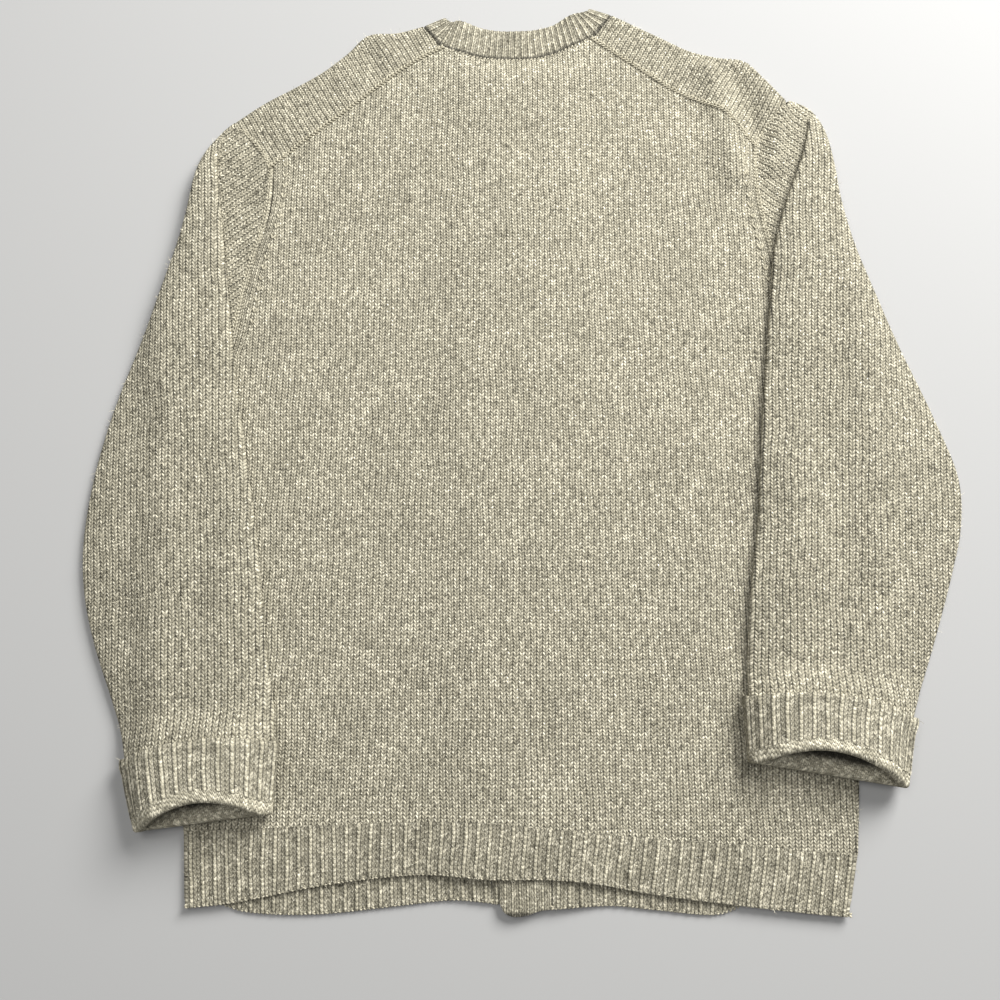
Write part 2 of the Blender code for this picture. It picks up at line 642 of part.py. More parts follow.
def make_back_hem(material):
    """The back's ribbed hem, whose sides roll down to the front's."""
    low_sides = [side_x(0.03, "left") + HALF, side_x(0.03, "right") - HALF]
    xs, tops = rib_columns(*low_sides, HEM_RIB_PITCH)
    share = (xs - xs[0]) / (xs[-1] - xs[0])
    rows = []
    for height in (0.0, 0.07, 0.55, 1.0):
        y = blend(edge_y(BACK_HEM, xs), edge_y(BACK_HEM, xs, "top_y"), height)
        left, right = side_x(y[0], "left") + HALF, side_x(y[-1], "right") - HALF
        rows.append(np.column_stack([blend(left, right, share), y]))
    plan = pull_in(np.array(rows), ["top"])
    z = back_z(plan[..., 0], plan[..., 1])
    grid = rolled(plan, z, np.ones(len(plan)), -1, ["left", "right"])
    relief = np.concatenate([np.zeros(ROLL_STEPS), tops, np.zeros(ROLL_STEPS)]) * RIB_RELIEF
    round_edge = taper(*grid.shape[:2], 0.6)
    above = (HALF - RIB_SUNK + relief) * round_edge
    return wall("back_hem", grid, above, HALF * round_edge, material)


def make_front_hem(side, material):
    """A front's ribbed hem. Its ribs stand up on the inside, which shows below the back's hem."""
    left = side == "left"
    table = LEFT_FRONT_EDGE if left else RIGHT_FRONT_EDGE
    sign = -1 if left else 1
    outer_x = side_x(0.03, side) - sign * HALF
    centre_x = LEFT_BAND[0] if left else RIGHT_BAND[1]
    xs, tops = rib_columns(outer_x, centre_x, HEM_RIB_PITCH)
    rows = []
    for height in (0.0, 0.08, 0.6, 1.0):
        y = blend(edge_y(table, xs), np.full(len(xs), FRONT_RIB_TOP), height)
        outer = side_x(y[0], side) - sign * HALF
        share = (xs - xs[0]) / (xs[-1] - xs[0])
        rows.append(np.column_stack([blend(outer, centre_x, share), y]))
    plan = pull_in(np.array(rows), ["top", "right"])
    grid = rolled(plan, front_z(plan[..., 0], side), np.ones(len(plan)), 1, ["left"])
    quiet = smoothstep(np.arange(len(tops)) / 4)
    relief = np.concatenate([np.zeros(ROLL_STEPS), tops * quiet]) * 0.6 * RIB_RELIEF
    round_edge = taper(*grid.shape[:2], 0.6)
    up, down = (HALF - RIB_SUNK + relief) * round_edge, HALF * np.ones(grid.shape[:2])
    if left:
        return wall(f"front_{side}_hem", grid, up, down, material)
    return wall(f"front_{side}_hem", grid, down, up, material)


def band_z(side, x):
    """Middle of a button band: it steps up from its seam, over the buttons or the other band."""
    if side == "left":
        share = smoothstep((x - LEFT_BAND[0]) / BAND_SLOPE)
        return blend(LEFT_BAND_SEAM_Z, LEFT_BAND_Z, share)
    return blend(RIGHT_BAND_SEAM_Z, RIGHT_BAND_Z, smoothstep((RIGHT_BAND[1] - x) / BAND_SLOPE))


def make_band(side, material):
    """A button band, ribbed along its length, from the hem to the neckband."""
    ends, table = (
        (LEFT_BAND, LEFT_BAND_EDGE) if side == "left" else (RIGHT_BAND, RIGHT_BAND_EDGE)
    )
    low, high = ends[0] + EDGE_PULL, ends[1] - EDGE_PULL
    xs, tops = rib_columns(low, high, (high - low) / BAND_RIB_COUNT)
    heights = np.array([0.0, 0.005, 0.03, 0.18, 0.34, 0.5, 0.66, 0.82, 1.0])[:, None]
    ys = blend(edge_y(table, xs)[None], BAND_TOP - EDGE_PULL, heights)
    grid = np.dstack([np.broadcast_to(xs, ys.shape), ys, np.broadcast_to(band_z(side, xs), ys.shape)])
    above = np.broadcast_to(BAND_ABOVE + BAND_RELIEF * tops, ys.shape)
    return wall(f"button_band_{side}", grid, above, BAND_BELOW * np.ones(ys.shape), material)


# ---------------------------------------------------------------- neckband

def neck_lines(table):
    """Free edge and seam edge of a neckband table: rows of two plan places."""
    return np.array([[(row.free_x, row.free_y), (row.seam_x, row.seam_y)] for row in table])


def neck_stretch(lines, count, height):
    """A stretch of neckband as rows of four points from its seam to its free edge."""
    places = np.linspace(0, len(lines) - 1, count)
    free = spline(lines[:, 0], places)
    steps = np.arange(len(lines))
    seam = np.column_stack([np.interp(places, steps, lines[:, 1, axis]) for axis in (0, 1)])
    columns = [blend(seam, free, share) for share in (0.0, 0.3, 0.9, 1.0)]
    plan = pull_in(np.stack(columns, axis=1), ["left"])
    return np.dstack([plan, np.broadcast_to(height(plan[..., 0], plan[..., 1]), plan.shape[:2])])


def make_neckband(material):
    """The ribbed neckband: round the left front, over the shoulder, the back neck, and down again."""
    def low(x, y):
        return np.full(np.shape(x), NECK_FRONT_Z)

    def high(x, y):
        return BACK_Z - neck_sag(x, y)

    def right_front(x, y):
        return blend(NECK_OVERLAP_Z, NECK_FRONT_Z, smoothstep((x - 0.021) / 0.025))

    back_count = 2 * round(0.155 / NECK_RIB_PITCH) + 1
    left, back, right = [neck_lines(t) for t in (NECK_LEFT_FRONT, NECK_BACK, NECK_RIGHT_FRONT)]
    reach = (BACK_Z - NECK_FRONT_Z) / 2 + HALF
    outs = []
    for fold, upper, further in ((left[-1], back[0], left[-2]), (right[0], back[-1], right[1])):
        across = fold[0] - fold[1]
        out = np.array([-across[1], across[0]]) / np.linalg.norm(across)
        out *= np.sign(out @ (fold[1] - further[1]))
        fold -= out * reach
        upper -= out * reach
        outs.append(out)
    first = neck_stretch(left, NECK_FRONT_ROWS, low)
    middle = neck_stretch(back, back_count, high)
    last = neck_stretch(right, NECK_FRONT_ROWS, right_front)
    turns = [
        turn_rows(row[:, :2], out, NECK_FRONT_Z, BACK_Z, 4)
        for row, out in ((middle[0], outs[0]), (middle[-1], outs[1]))
    ]
    grid = np.concatenate([first, np.array(turns[0]), middle, np.array(turns[1])[::-1], last])
    tops = np.zeros(len(grid))
    start = len(first) + len(turns[0])
    tops[start : start + back_count] = np.arange(back_count) % 2
    fold = np.ones(len(grid))
    for end in (start - 2, start + back_count + 1):
        fold[end - 3 : end + 4] = 0.65
    edge = np.array([1.0, 1.0, 1.0, 0.65])
    above = ((NECK_ABOVE + BAND_RELIEF * tops) * fold)[:, None] * edge
    below = (NECK_BELOW * fold)[:, None] * edge
    sign = normals_of(grid, False)[start + back_count // 2, 1, 2]
    return wall("neckband", grid, *((above, below) if sign > 0 else (below, above)), material)


# ---------------------------------------------------------------- sleeves

class Sleeve:
    """The folded tube of one sleeve, in the middle of its cloth, read at places along its table."""

    def __init__(self, side):
        self.side = side
        self.table = np.array(LEFT_SLEEVE if side == "left" else RIGHT_SLEEVE)
        middles = (self.table[:, 0:2] + self.table[:, 2:4]) / 2
        self.end = middles[-1]
        self.step = np.linalg.norm(middles[-1] - middles[-2])
        self.mouth = len(self.table) - 1 - (TURN + HALF) / self.step
        turned = CUFF_HEIGHT[side] - TURNED_JERSEY
        self.cuff_low = self.mouth - (TURNED_JERSEY + 2 * EDGE_PULL) / self.step
        self.cuff_high = self.cuff_low - turned / self.step
        self.cuff_places = np.linspace(self.cuff_high, self.cuff_low, CUFF_ROWS + 1)

    def thickness(self, places):
        """Half the cloth's thickness: it thins out where the tube starts inside the sleeve head."""
        return HALF * blend(THIN_END, 1.0, smoothstep(np.asarray(places) / THIN_PLACES))

    def loops(self, places):
        """One closed loop for each place: the layer below, a fold, the layer above, a fold."""
        rows = spline(self.table, places)
        outer, inner, hollow = rows[:, 0:2], rows[:, 2:4], rows[:, 4]
        width = np.linalg.norm(inner - outer, axis=1)
        across = (inner - outer) / width[:, None]
        middle = (outer + inner) / 2
        along = np.gradient(middle, axis=0)
        along /= np.linalg.norm(along, axis=1, keepdims=True)
        to_mouth = np.linalg.norm(middle - self.end, axis=1)
        cuffed = 1 - smoothstep((to_mouth - CUFF_HEIGHT[self.side] - 0.004) / CUFF_LIFT_SLOPE)
        arch = MOUTH_ARCH[self.side] * np.clip(1 - to_mouth / ARCH_LENGTH, 0, 1) ** 1.3
        half = self.thickness(places)
        radius = half * (1 + (EDGE_HOLLOW + MOUTH_HOLLOW * cuffed) / JERSEY)
        sink = SHOULDER_SINK * (1 - smoothstep(np.asarray(places) / SINK_PLACES))
        angles = np.pi * np.arange(1, LOOP_TURN + 1) / (LOOP_TURN + 1)
        loops = []
        for k in range(len(rows)):
            inset = half[k] + radius[k]
            low_run = np.linspace(inset, width[k] - inset, LOOP_UNDER)
            high_run = np.linspace(width[k] - inset, inset, LOOP_OVER)
            share = np.linspace(1, -1, LOOP_OVER)
            run = np.concatenate([
                low_run,
                low_run[-1] + radius[k] * np.sin(angles),
                high_run,
                high_run[-1] - radius[k] * np.sin(angles),
            ])
            rise = np.concatenate([
                np.zeros(LOOP_UNDER),
                radius[k] * (1 - np.cos(angles)),
                2 * radius[k] + hollow[k] * (1 - share**4),
                radius[k] * (1 + np.cos(angles)),
            ])
            lift = np.zeros(len(run))
            lift[LOOP_UNDER + LOOP_TURN : -LOOP_TURN] = arch[k] * (1 - share**2)
            ground = np.clip(run, inset, width[k] - inset)[:, None]
            spot = outer[k] + across[k] * ground
            base = support(spot[:, 0], spot[:, 1], self.side) + CUFF_LIFT * cuffed[k] - sink[k]
            place = outer[k] + across[k] * run[:, None] - along[k] * lift[:, None]
            loops.append(np.column_stack([place, base + half[k] + rise]))
        return np.array(loops)

    def wrapped(self, place):
        """The loop of a second layer of cloth, turned up round the sleeve at a place."""
        near = self.loops([place - 0.02, place, place + 0.02])
        return near[1] + outward(near)[1] * LAYER


def outward(loops):
    """Normals of loops that point out of the tube."""
    normal = normals_of(loops, True)
    facing = np.sum(normal * (loops - loops.mean(axis=1, keepdims=True)), axis=2).mean()
    return normal * (1 if facing > 0 else -1)


def tube(name, grid, above, below, material, cap_from=None):
    """A closed wall whose loops run round a tube. above is its thickness on the tube's outside."""
    normal = normals_of(grid[:4], True)
    facing = np.sum(normal * (grid[:4] - grid[:4].mean(axis=1, keepdims=True)), axis=2).mean()
    if facing < 0:
        above, below = below, above
        grid, above, below = grid[:, ::-1], above[:, ::-1], below[:, ::-1]
        above, below = below, above
    return wall(name, grid, above, below, material, closed=True, cap_from=cap_from)


def make_sleeve(side, material):
    """A sleeve: a blind tube that turns up at its mouth, joined to the folded sleeve head."""
    sleeve = Sleeve(side)
    upper = np.linspace(0, sleeve.cuff_high, SLEEVE_ROWS, endpoint=False)
    places = np.concatenate([upper, sleeve.cuff_places, [sleeve.mouth]])
    rows = sleeve.loops(places)
    normal = outward(rows)
    along = rows[-1].mean(axis=0) - rows[-2].mean(axis=0)
    along[2] = 0
    along /= np.linalg.norm(along)
    turned = []
    for step in range(1, 4):
        angle = math.pi * step / 4
        out = normal[-1] * (1 - math.cos(angle)) + along * math.sin(angle)
        turned.append(rows[-1] + out * TURN)
    for run in (0.0, TURNED_JERSEY):
        turned.append(sleeve.wrapped(sleeve.mouth - run / sleeve.step))
    grid = np.concatenate([rows, np.array(turned)])
    half = np.concatenate([sleeve.thickness(places), np.full(len(turned), HALF)])
    half = np.repeat(half[:, None], grid.shape[1], axis=1)
    outside = half.copy()
    outside[len(rows) - 1 : len(rows) + 4] *= FOLD_THIN
    made = tube(f"sleeve_{side}", grid, outside, half, material, cap_from=2)
    join = made.modifiers.new("join_head", "BOOLEAN")
    join.operation = "UNION"
    join.solver = "EXACT"
    join.object = make_sleeve_head(side, material)
    return made


def make_sleeve_head(side, material):
    """The sleeve's top, folded flat between the two armhole seams. It is joined to its sleeve."""
    arm = LEFT_ARM if side == "left" else RIGHT_ARM
    rows = []
    for row in arm:
        front, back = np.array([row.front_x, row.front_y]), np.array([row.back_x, row.back_y])
        outer = np.array([row.outer_x, row.outer_y])
        out = outer - (front + back) / 2
        out /= np.linalg.norm(out)
        turn = outer - out * (TURN + HALF)
        loop = [(*blend(front, turn, share), FRONT_Z) for share in (0.0, 0.5, 1.0)]
        for step in range(1, 4):
            angle = math.pi * step / 4
            place = turn + out * TURN * math.sin(angle)
            loop.append((*place, FRONT_Z + TURN * (1 - math.cos(angle))))
        loop += [(*blend(turn, back, share), BACK_Z) for share in (0.0, 0.5, 1.0)]
        rows.append(loop)
    grid = pull_in(np.array(rows), ["left", "right"])
    thickness = HALF * np.ones(grid.shape[:2])
    inside = thickness.copy()
    inside[:, 2:7] *= FOLD_THIN
    facing_up = normals_of(grid, False)[4, 0, 2] > 0
    faces = (thickness, inside) if not facing_up else (inside, thickness)
    head = wall(f"sleeve_head_{side}", grid, *faces, material)
    head.hide_render = True
    head.display_type = "WIRE"
    return head


def make_cuff(side, material):
    """The ribbed cuff, turned up over the sleeve: made from the sleeve's own loops, moved out."""
    sleeve = Sleeve(side)
    over = slice(LOOP_UNDER + LOOP_TURN, LOOP_UNDER + LOOP_TURN + LOOP_OVER)
    tops = np.arange(CUFF_RIB_COUNT + 1) % 2
    shares = np.linspace(0, LOOP_OVER - 1, len(tops))
    rows = []
    for place in sleeve.cuff_places[::-1]:
        loop = sleeve.wrapped(place)
        ribbed = [np.interp(shares, np.arange(LOOP_OVER), loop[over, axis]) for axis in range(3)]
        rows.append(np.concatenate([loop[: over.start], np.column_stack(ribbed), loop[over.stop :]]))
    grid = np.array(rows)
    relief = np.full(grid.shape[1], 0.0)
    relief[over.start : over.start + len(tops)] = RIB_RELIEF * tops - RIB_SUNK
    open_edge = taper(*grid.shape[:2], 0.65, ["top"])
    return tube(f"cuff_{side}", grid, (HALF + relief) * open_edge, HALF * open_edge, material)


# ---------------------------------------------------------------- buttons

def make_button(number, y, material):
    """A four-hole horn button under the left band: a turned disc, rim down, with its holes cut."""
    x = sum(LEFT_BAND) / 2
    well = BUTTON_RADIUS - BUTTON_RIM
    profile = [
        (0.0, BUTTON_WELL_DEPTH),
        (well, BUTTON_WELL_DEPTH),
        (well + 0.0005, 0.0),
        (BUTTON_RADIUS - 0.0004, 0.0),
        (BUTTON_RADIUS, 0.0004),
        (BUTTON_RADIUS, BUTTON_THICKNESS - 0.0005),
        (BUTTON_RADIUS - 0.0008, BUTTON_THICKNESS),
        (0.0, BUTTON_THICKNESS),
    ]
    shape = bmesh.new()
    ring = [shape.verts.new((radius, 0.0, z)) for radius, z in profile]
    edges = [shape.edges.new(pair) for pair in zip(ring, ring[1:])]
    bmesh.ops.spin(
        shape, geom=ring + edges, cent=(0, 0, 0), axis=(0, 0, 1),
        angle=2 * math.pi, steps=BUTTON_SIDES, use_merge=True,
    )
    bmesh.ops.remove_doubles(shape, verts=shape.verts, dist=1e-5)
    bmesh.ops.recalc_face_normals(shape, faces=shape.faces)
    mesh = bpy.data.meshes.new(f"button_{number}")
    shape.to_mesh(mesh)
    shape.free()
    mesh.materials.append(material)
    button = bpy.data.objects.new(f"button_{number}", mesh)
    bpy.context.scene.collection.objects.link(button)
    button.location = (x, y, 0.0)
    holes = bpy.data.objects.get("button_holes") or make_hole_cutter()
    cut = button.modifiers.new("holes", "BOOLEAN")
    cut.operation = "DIFFERENCE"
    cut.solver = "EXACT"
    cut.object = holes_at(holes, x, y, number)
    return button


def make_hole_cutter():
    """Four round pegs, one for each hole of a button."""
    shape = bmesh.new()
    half = BUTTON_HOLE_SPACING / 2
    for dx, dy in ((-half, -half), (half, -half), (half, half), (-half, half)):
        made = bmesh.ops.create_cone(
            shape, cap_ends=True, segments=6, radius1=BUTTON_HOLE_RADIUS,
            radius2=BUTTON_HOLE_RADIUS, depth=4 * BUTTON_THICKNESS,
        )
        bmesh.ops.translate(shape, verts=made["verts"], vec=(dx, dy, BUTTON_THICKNESS / 2))
    mesh = bpy.data.meshes.new("button_holes")
    shape.to_mesh(mesh)
    shape.free()
    cutter = bpy.data.objects.new("button_holes", mesh)
    return hidden(cutter)


def hidden(thing):
    bpy.context.scene.collection.objects.link(thing)
    thing.hide_render = True
    thing.display_type = "WIRE"
    return thing


def holes_at(cutter, x, y, number):
    copy = hidden(bpy.data.objects.new(f"button_holes_{number}", cutter.data))
    copy.location = (x, y, 0.0)
    return copy


# ---------------------------------------------------------------- the whole garment

def centre_on_origin(things):
    """Moves everything so that the origin is under the middle of the garment's box."""
    bpy.context.view_layer.update()
    corners = [t.matrix_world @ v.co for t in things for v in t.data.vertices]
    low_x, high_x = min(c.x for c in corners), max(c.x for c in corners)
    low_y, high_y = min(c.y for c in corners), max(c.y for c in corners)
    anchor = bpy.data.objects.new("cardigan", None)
    bpy.context.scene.collection.objects.link(anchor)
    for thing in bpy.data.objects:
        if thing is not anchor:
            thing.parent = anchor
    anchor.location = (-(low_x + high_x) / 2, -(low_y + high_y) / 2, 0.0)
    print("origin in the garment's frame", -anchor.location)


def main():
    for thing in list(bpy.data.objects):
        bpy.data.objects.remove(thing)
    jersey = fabric("jersey", YARN["oatmeal"])
    rib = fabric("rib", YARN["band"])
    horn = fabric("button", HORN, roughness=0.35)
    made = [make_back(jersey), make_back_hem(rib), make_neckband(rib)]
    for side in ("left", "right"):
        made += [
            make_front(side, jersey),
            make_front_hem(side, rib),
            make_band(side, rib),
            make_sleeve(side, jersey),
            make_cuff(side, rib),
        ]
    for number, y in enumerate(np.linspace(FIRST_BUTTON_Y, LAST_BUTTON_Y, BUTTON_COUNT), start=1):
        made.append(make_button(number, y, horn))
    centre_on_origin(made)


main()
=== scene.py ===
"""The looks of a fisherman cardigan, laid face down with its sleeves folded over its back.

Blender 4.5, metres, +Z up.
"""
# %% [markdown]
# # A fisherman cardigan, face down, its sleeves folded over its back
# The garment is chunky wool in one heathered oatmeal yarn. It lies on its front, so the camera sees
# the back panel, both shoulders folded over, and the sleeves with their cuffs turned up.
# The CAD parts give the true size and place of each knitted piece. This script makes each piece
# again on a much finer grid, so that it can carry soft folds, ribs and stitches.

# %% Load the frame
import math
from collections import namedtuple

import bmesh
import bpy
import numpy as np
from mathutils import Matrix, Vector


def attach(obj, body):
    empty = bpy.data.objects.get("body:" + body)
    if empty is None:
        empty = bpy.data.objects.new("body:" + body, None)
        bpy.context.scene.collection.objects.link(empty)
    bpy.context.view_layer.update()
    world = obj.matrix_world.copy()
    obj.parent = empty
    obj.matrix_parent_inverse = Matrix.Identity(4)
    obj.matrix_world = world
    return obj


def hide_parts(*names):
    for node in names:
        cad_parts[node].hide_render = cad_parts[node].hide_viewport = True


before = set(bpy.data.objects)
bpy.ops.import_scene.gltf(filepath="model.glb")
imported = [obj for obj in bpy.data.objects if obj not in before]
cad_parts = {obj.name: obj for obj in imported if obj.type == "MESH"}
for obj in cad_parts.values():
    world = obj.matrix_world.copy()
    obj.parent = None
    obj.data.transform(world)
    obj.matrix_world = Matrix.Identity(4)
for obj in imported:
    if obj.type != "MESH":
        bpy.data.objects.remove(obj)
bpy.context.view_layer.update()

# %% [markdown]
# ## The cloth and its tables
# A garment maker works from a flat plan, and so does this script. X runs from the centre line and Y
# from the lowest point of the hem, in metres. Each table is a line of the garment: a seam, a hem, a
# fold. The lines have the same numbers as in the CAD, so that every look sits on its part. ORIGIN
# is where the CAD's own origin lies in that plan.

# %% Cloth sizes
ORIGIN = (0.0051, 0.3744)
JERSEY = 0.0030             # thickness of the plain knit
HALF = JERSEY / 2
LAYER = 0.0035              # middle of one layer to the middle of the next
TURN = LAYER / 2            # radius of a fold
EDGE_PULL = 0.0002          # each seam edge stands back this far, a little less than in the CAD
ROLL_STEPS = 6              # columns round a rolled side edge
FRONT_Z = HALF
BACK_Z = FRONT_Z + LAYER
WALE, COURSE = 0.0045, 0.0027           # one stitch of the body, across and up
SLEEVE_WALE, SLEEVE_COURSE = 0.0050, 0.0029
BOTH = ("left", "right")
SIGN = {"left": -1, "right": 1}         # which way a side lies along X

SideRow = namedtuple("SideRow", "y left_x right_x")
HemRow = namedtuple("HemRow", "x edge_y top_y")
EdgeRow = namedtuple("EdgeRow", "x edge_y")
ArmRow = namedtuple("ArmRow", "back_x back_y front_x front_y outer_x outer_y")
ShoulderRow = namedtuple("ShoulderRow", "fold_x fold_y seam_x seam_y")
NeckRow = namedtuple("NeckRow", "free_x free_y seam_x seam_y")
SleeveRow = namedtuple("SleeveRow", "outer_x outer_y inner_x inner_y hollow")


def table_of(kind, *values):
    """A table whose rows have named columns."""
    return [kind(*row) for row in values]


# %% Side seams and hems
SIDES = table_of(
    SideRow,
    (0.003, -0.244, 0.241), (0.045, -0.247, 0.250), (0.085, -0.250, 0.254), (0.200, -0.256, 0.258),
    (0.300, -0.260, 0.261), (0.402, -0.262, 0.262),
)
BACK_HEM = table_of(
    HemRow,
    (-0.244, 0.006, 0.059), (-0.207, 0.010, 0.061), (-0.153, 0.020, 0.063), (-0.110, 0.026, 0.065),
    (-0.066, 0.029, 0.066), (-0.021, 0.026, 0.065), (0.021, 0.026, 0.061), (0.056, 0.023, 0.058),
    (0.102, 0.015, 0.054), (0.160, 0.008, 0.050), (0.206, 0.003, 0.046), (0.241, 0.000, 0.043),
)
FRONT_EDGE = {
    "left": table_of(
        EdgeRow,
        (-0.244, 0.010), (-0.219, 0.008), (-0.200, 0.003), (-0.169, 0.001), (-0.137, 0.002),
        (-0.089, 0.007), (-0.050, 0.011), (-0.020, 0.009),
    ),
    "right": table_of(
        EdgeRow,
        (0.024, 0.005), (0.067, 0.007), (0.102, 0.004), (0.144, 0.001), (0.170, 0.009),
        (0.205, 0.011), (0.241, 0.008),
    ),
}
BAND_EDGE = {
    "left": table_of(
        EdgeRow,
        (-0.020, 0.008), (0.000, 0.009), (0.018, 0.010),
    ),
    "right": table_of(
        EdgeRow,
        (-0.014, 0.009), (-0.011, 0.003), (-0.004, 0.000), (0.006, 0.001), (0.015, 0.004),
        (0.024, 0.005),
    ),
}

# %% Armholes: the seam on the back, the seam on the front, the sleeve head's outer fold
ARM = {
    "left": table_of(
        ArmRow,
        (-0.262, 0.402, -0.262, 0.402, -0.267, 0.404), (-0.247, 0.410, -0.248, 0.410, -0.269, 0.416),
        (-0.237, 0.428, -0.238, 0.428, -0.270, 0.432), (-0.231, 0.452, -0.230, 0.452, -0.271, 0.455),
        (-0.226, 0.485, -0.225, 0.485, -0.272, 0.487), (-0.220, 0.513, -0.223, 0.513, -0.272, 0.515),
        (-0.213, 0.538, -0.223, 0.540, -0.272, 0.542), (-0.209, 0.565, -0.225, 0.570, -0.272, 0.572),
        (-0.209, 0.596, -0.229, 0.603, -0.268, 0.604), (-0.221, 0.617, -0.233, 0.622, -0.253, 0.627),
        (-0.2375, 0.635, -0.2375, 0.635, -0.2414, 0.6385),
    ),
    "right": table_of(
        ArmRow,
        (0.262, 0.402, 0.262, 0.402, 0.267, 0.404), (0.248, 0.411, 0.249, 0.411, 0.268, 0.418),
        (0.237, 0.430, 0.239, 0.430, 0.269, 0.436), (0.227, 0.455, 0.231, 0.456, 0.270, 0.458),
        (0.218, 0.487, 0.226, 0.489, 0.270, 0.490), (0.212, 0.518, 0.223, 0.520, 0.269, 0.522),
        (0.206, 0.550, 0.222, 0.552, 0.269, 0.555), (0.202, 0.585, 0.223, 0.585, 0.268, 0.590),
        (0.204, 0.617, 0.226, 0.617, 0.266, 0.624), (0.215, 0.635, 0.227, 0.637, 0.254, 0.649),
        (0.2322, 0.655, 0.2322, 0.655, 0.2345, 0.6600),
    ),
}

# %% Shoulders: the folded edge, and the seam behind it on the back
SHOULDER = {
    "left": table_of(
        ShoulderRow,
        (-0.240, 0.639, -0.209, 0.596), (-0.220, 0.654, -0.191, 0.612),
        (-0.195, 0.669, -0.168, 0.631), (-0.170, 0.685, -0.145, 0.650),
        (-0.148, 0.704, -0.124, 0.668), (-0.130, 0.722, -0.105, 0.684),
        (-0.104, 0.725, -0.084, 0.699), (-0.081, 0.732, -0.064, 0.710),
    ),
    "right": table_of(
        ShoulderRow,
        (0.232, 0.660, 0.204, 0.617), (0.217, 0.678, 0.192, 0.631), (0.200, 0.695, 0.177, 0.647),
        (0.177, 0.699, 0.156, 0.658), (0.152, 0.706, 0.132, 0.671), (0.126, 0.720, 0.110, 0.687),
        (0.104, 0.732, 0.088, 0.703), (0.084, 0.743, 0.066, 0.719),
    ),
}

# %% Neckband: its free edge and its seam
NECK_LEFT_FRONT = table_of(
    NeckRow,
    (0.018, 0.6695, 0.018, 0.6446), (-0.001, 0.6690, -0.001, 0.6446),
    (-0.017, 0.6700, -0.020, 0.6450), (-0.036, 0.6760, -0.048, 0.6550),
    (-0.053, 0.6920, -0.071, 0.6760), (-0.060, 0.7140, -0.082, 0.7050),
    (-0.062, 0.7410, -0.081, 0.7320),
)
NECK_BACK = table_of(
    NeckRow,
    (-0.062, 0.7410, -0.081, 0.7320), (-0.056, 0.7355, -0.0725, 0.7200),
    (-0.051, 0.7370, -0.064, 0.7100), (-0.044, 0.7355, -0.050, 0.7050),
    (-0.032, 0.7315, -0.036, 0.7015), (-0.015, 0.7285, -0.017, 0.6995),
    (0.001, 0.7285, 0.001, 0.6990), (0.016, 0.7295, 0.019, 0.7005), (0.032, 0.7340, 0.037, 0.7060),
    (0.044, 0.7410, 0.052, 0.7120), (0.0515, 0.7440, 0.066, 0.7190), (0.0570, 0.7450, 0.075, 0.7300),
    (0.064, 0.7500, 0.084, 0.7430),
)
NECK_RIGHT_FRONT = table_of(
    NeckRow,
    (0.064, 0.7500, 0.084, 0.7430), (0.064, 0.7220, 0.086, 0.7130), (0.057, 0.6990, 0.075, 0.6840),
    (0.041, 0.6820, 0.053, 0.6610), (0.021, 0.6730, 0.024, 0.6480), (0.002, 0.6710, 0.002, 0.6460),
    (-0.014, 0.6715, -0.014, 0.6460),
)

# %% Sleeves: their two folded edges, and the daylight inside
SLEEVE = {
    "left": table_of(
        SleeveRow,
        (-0.2520, 0.6240, -0.2470, 0.6270, 0.0000), (-0.2630, 0.6080, -0.2510, 0.6140, 0.0000),
        (-0.2705, 0.5850, -0.2515, 0.5910, 0.0004), (-0.2755, 0.5520, -0.2470, 0.5590, 0.0010),
        (-0.2830, 0.5160, -0.2420, 0.5230, 0.0018), (-0.3000, 0.4560, -0.2340, 0.4630, 0.0028),
        (-0.3205, 0.3960, -0.2245, 0.4000, 0.0036), (-0.3345, 0.3350, -0.2140, 0.3410, 0.0040),
        (-0.3400, 0.2780, -0.2035, 0.2820, 0.0044), (-0.3360, 0.2350, -0.1960, 0.2280, 0.0046),
        (-0.3250, 0.1960, -0.1905, 0.1860, 0.0048), (-0.3095, 0.1570, -0.1850, 0.1570, 0.0052),
        (-0.2970, 0.1240, -0.1820, 0.1360, 0.0058), (-0.2885, 0.0920, -0.1820, 0.1050, 0.0066),
        (-0.2785, 0.0610, -0.1840, 0.0730, 0.0074),
    ),
    "right": table_of(
        SleeveRow,
        (0.2520, 0.6450, 0.2470, 0.6470, 0.0000), (0.2620, 0.6280, 0.2480, 0.6320, 0.0000),
        (0.2670, 0.5990, 0.2400, 0.6030, 0.0004), (0.2715, 0.5600, 0.2250, 0.5630, 0.0012),
        (0.2815, 0.5150, 0.2120, 0.5180, 0.0022), (0.2980, 0.4680, 0.2065, 0.4740, 0.0030),
        (0.3155, 0.4250, 0.2010, 0.4280, 0.0036), (0.3350, 0.3740, 0.1950, 0.3760, 0.0040),
        (0.3495, 0.3270, 0.1900, 0.3240, 0.0044), (0.3480, 0.2880, 0.1855, 0.2800, 0.0046),
        (0.3390, 0.2550, 0.1800, 0.2470, 0.0048), (0.3265, 0.2180, 0.1760, 0.2140, 0.0052),
        (0.3110, 0.1760, 0.1735, 0.1840, 0.0058), (0.2935, 0.1340, 0.1715, 0.1510, 0.0066),
        (0.2840, 0.0920, 0.1725, 0.1100, 0.0074),
    ),
}
MOUTH_ARCH = {"left": 0.016, "right": 0.018}   # how far the mouth's upper edge is pulled up
CUFF_HEIGHT = {"left": 0.048, "right": 0.046}
print(len(BACK_HEM), "rows for the back hem,", len(ARM["left"]), "for an armhole and",
      len(SLEEVE["left"]), "for a sleeve")

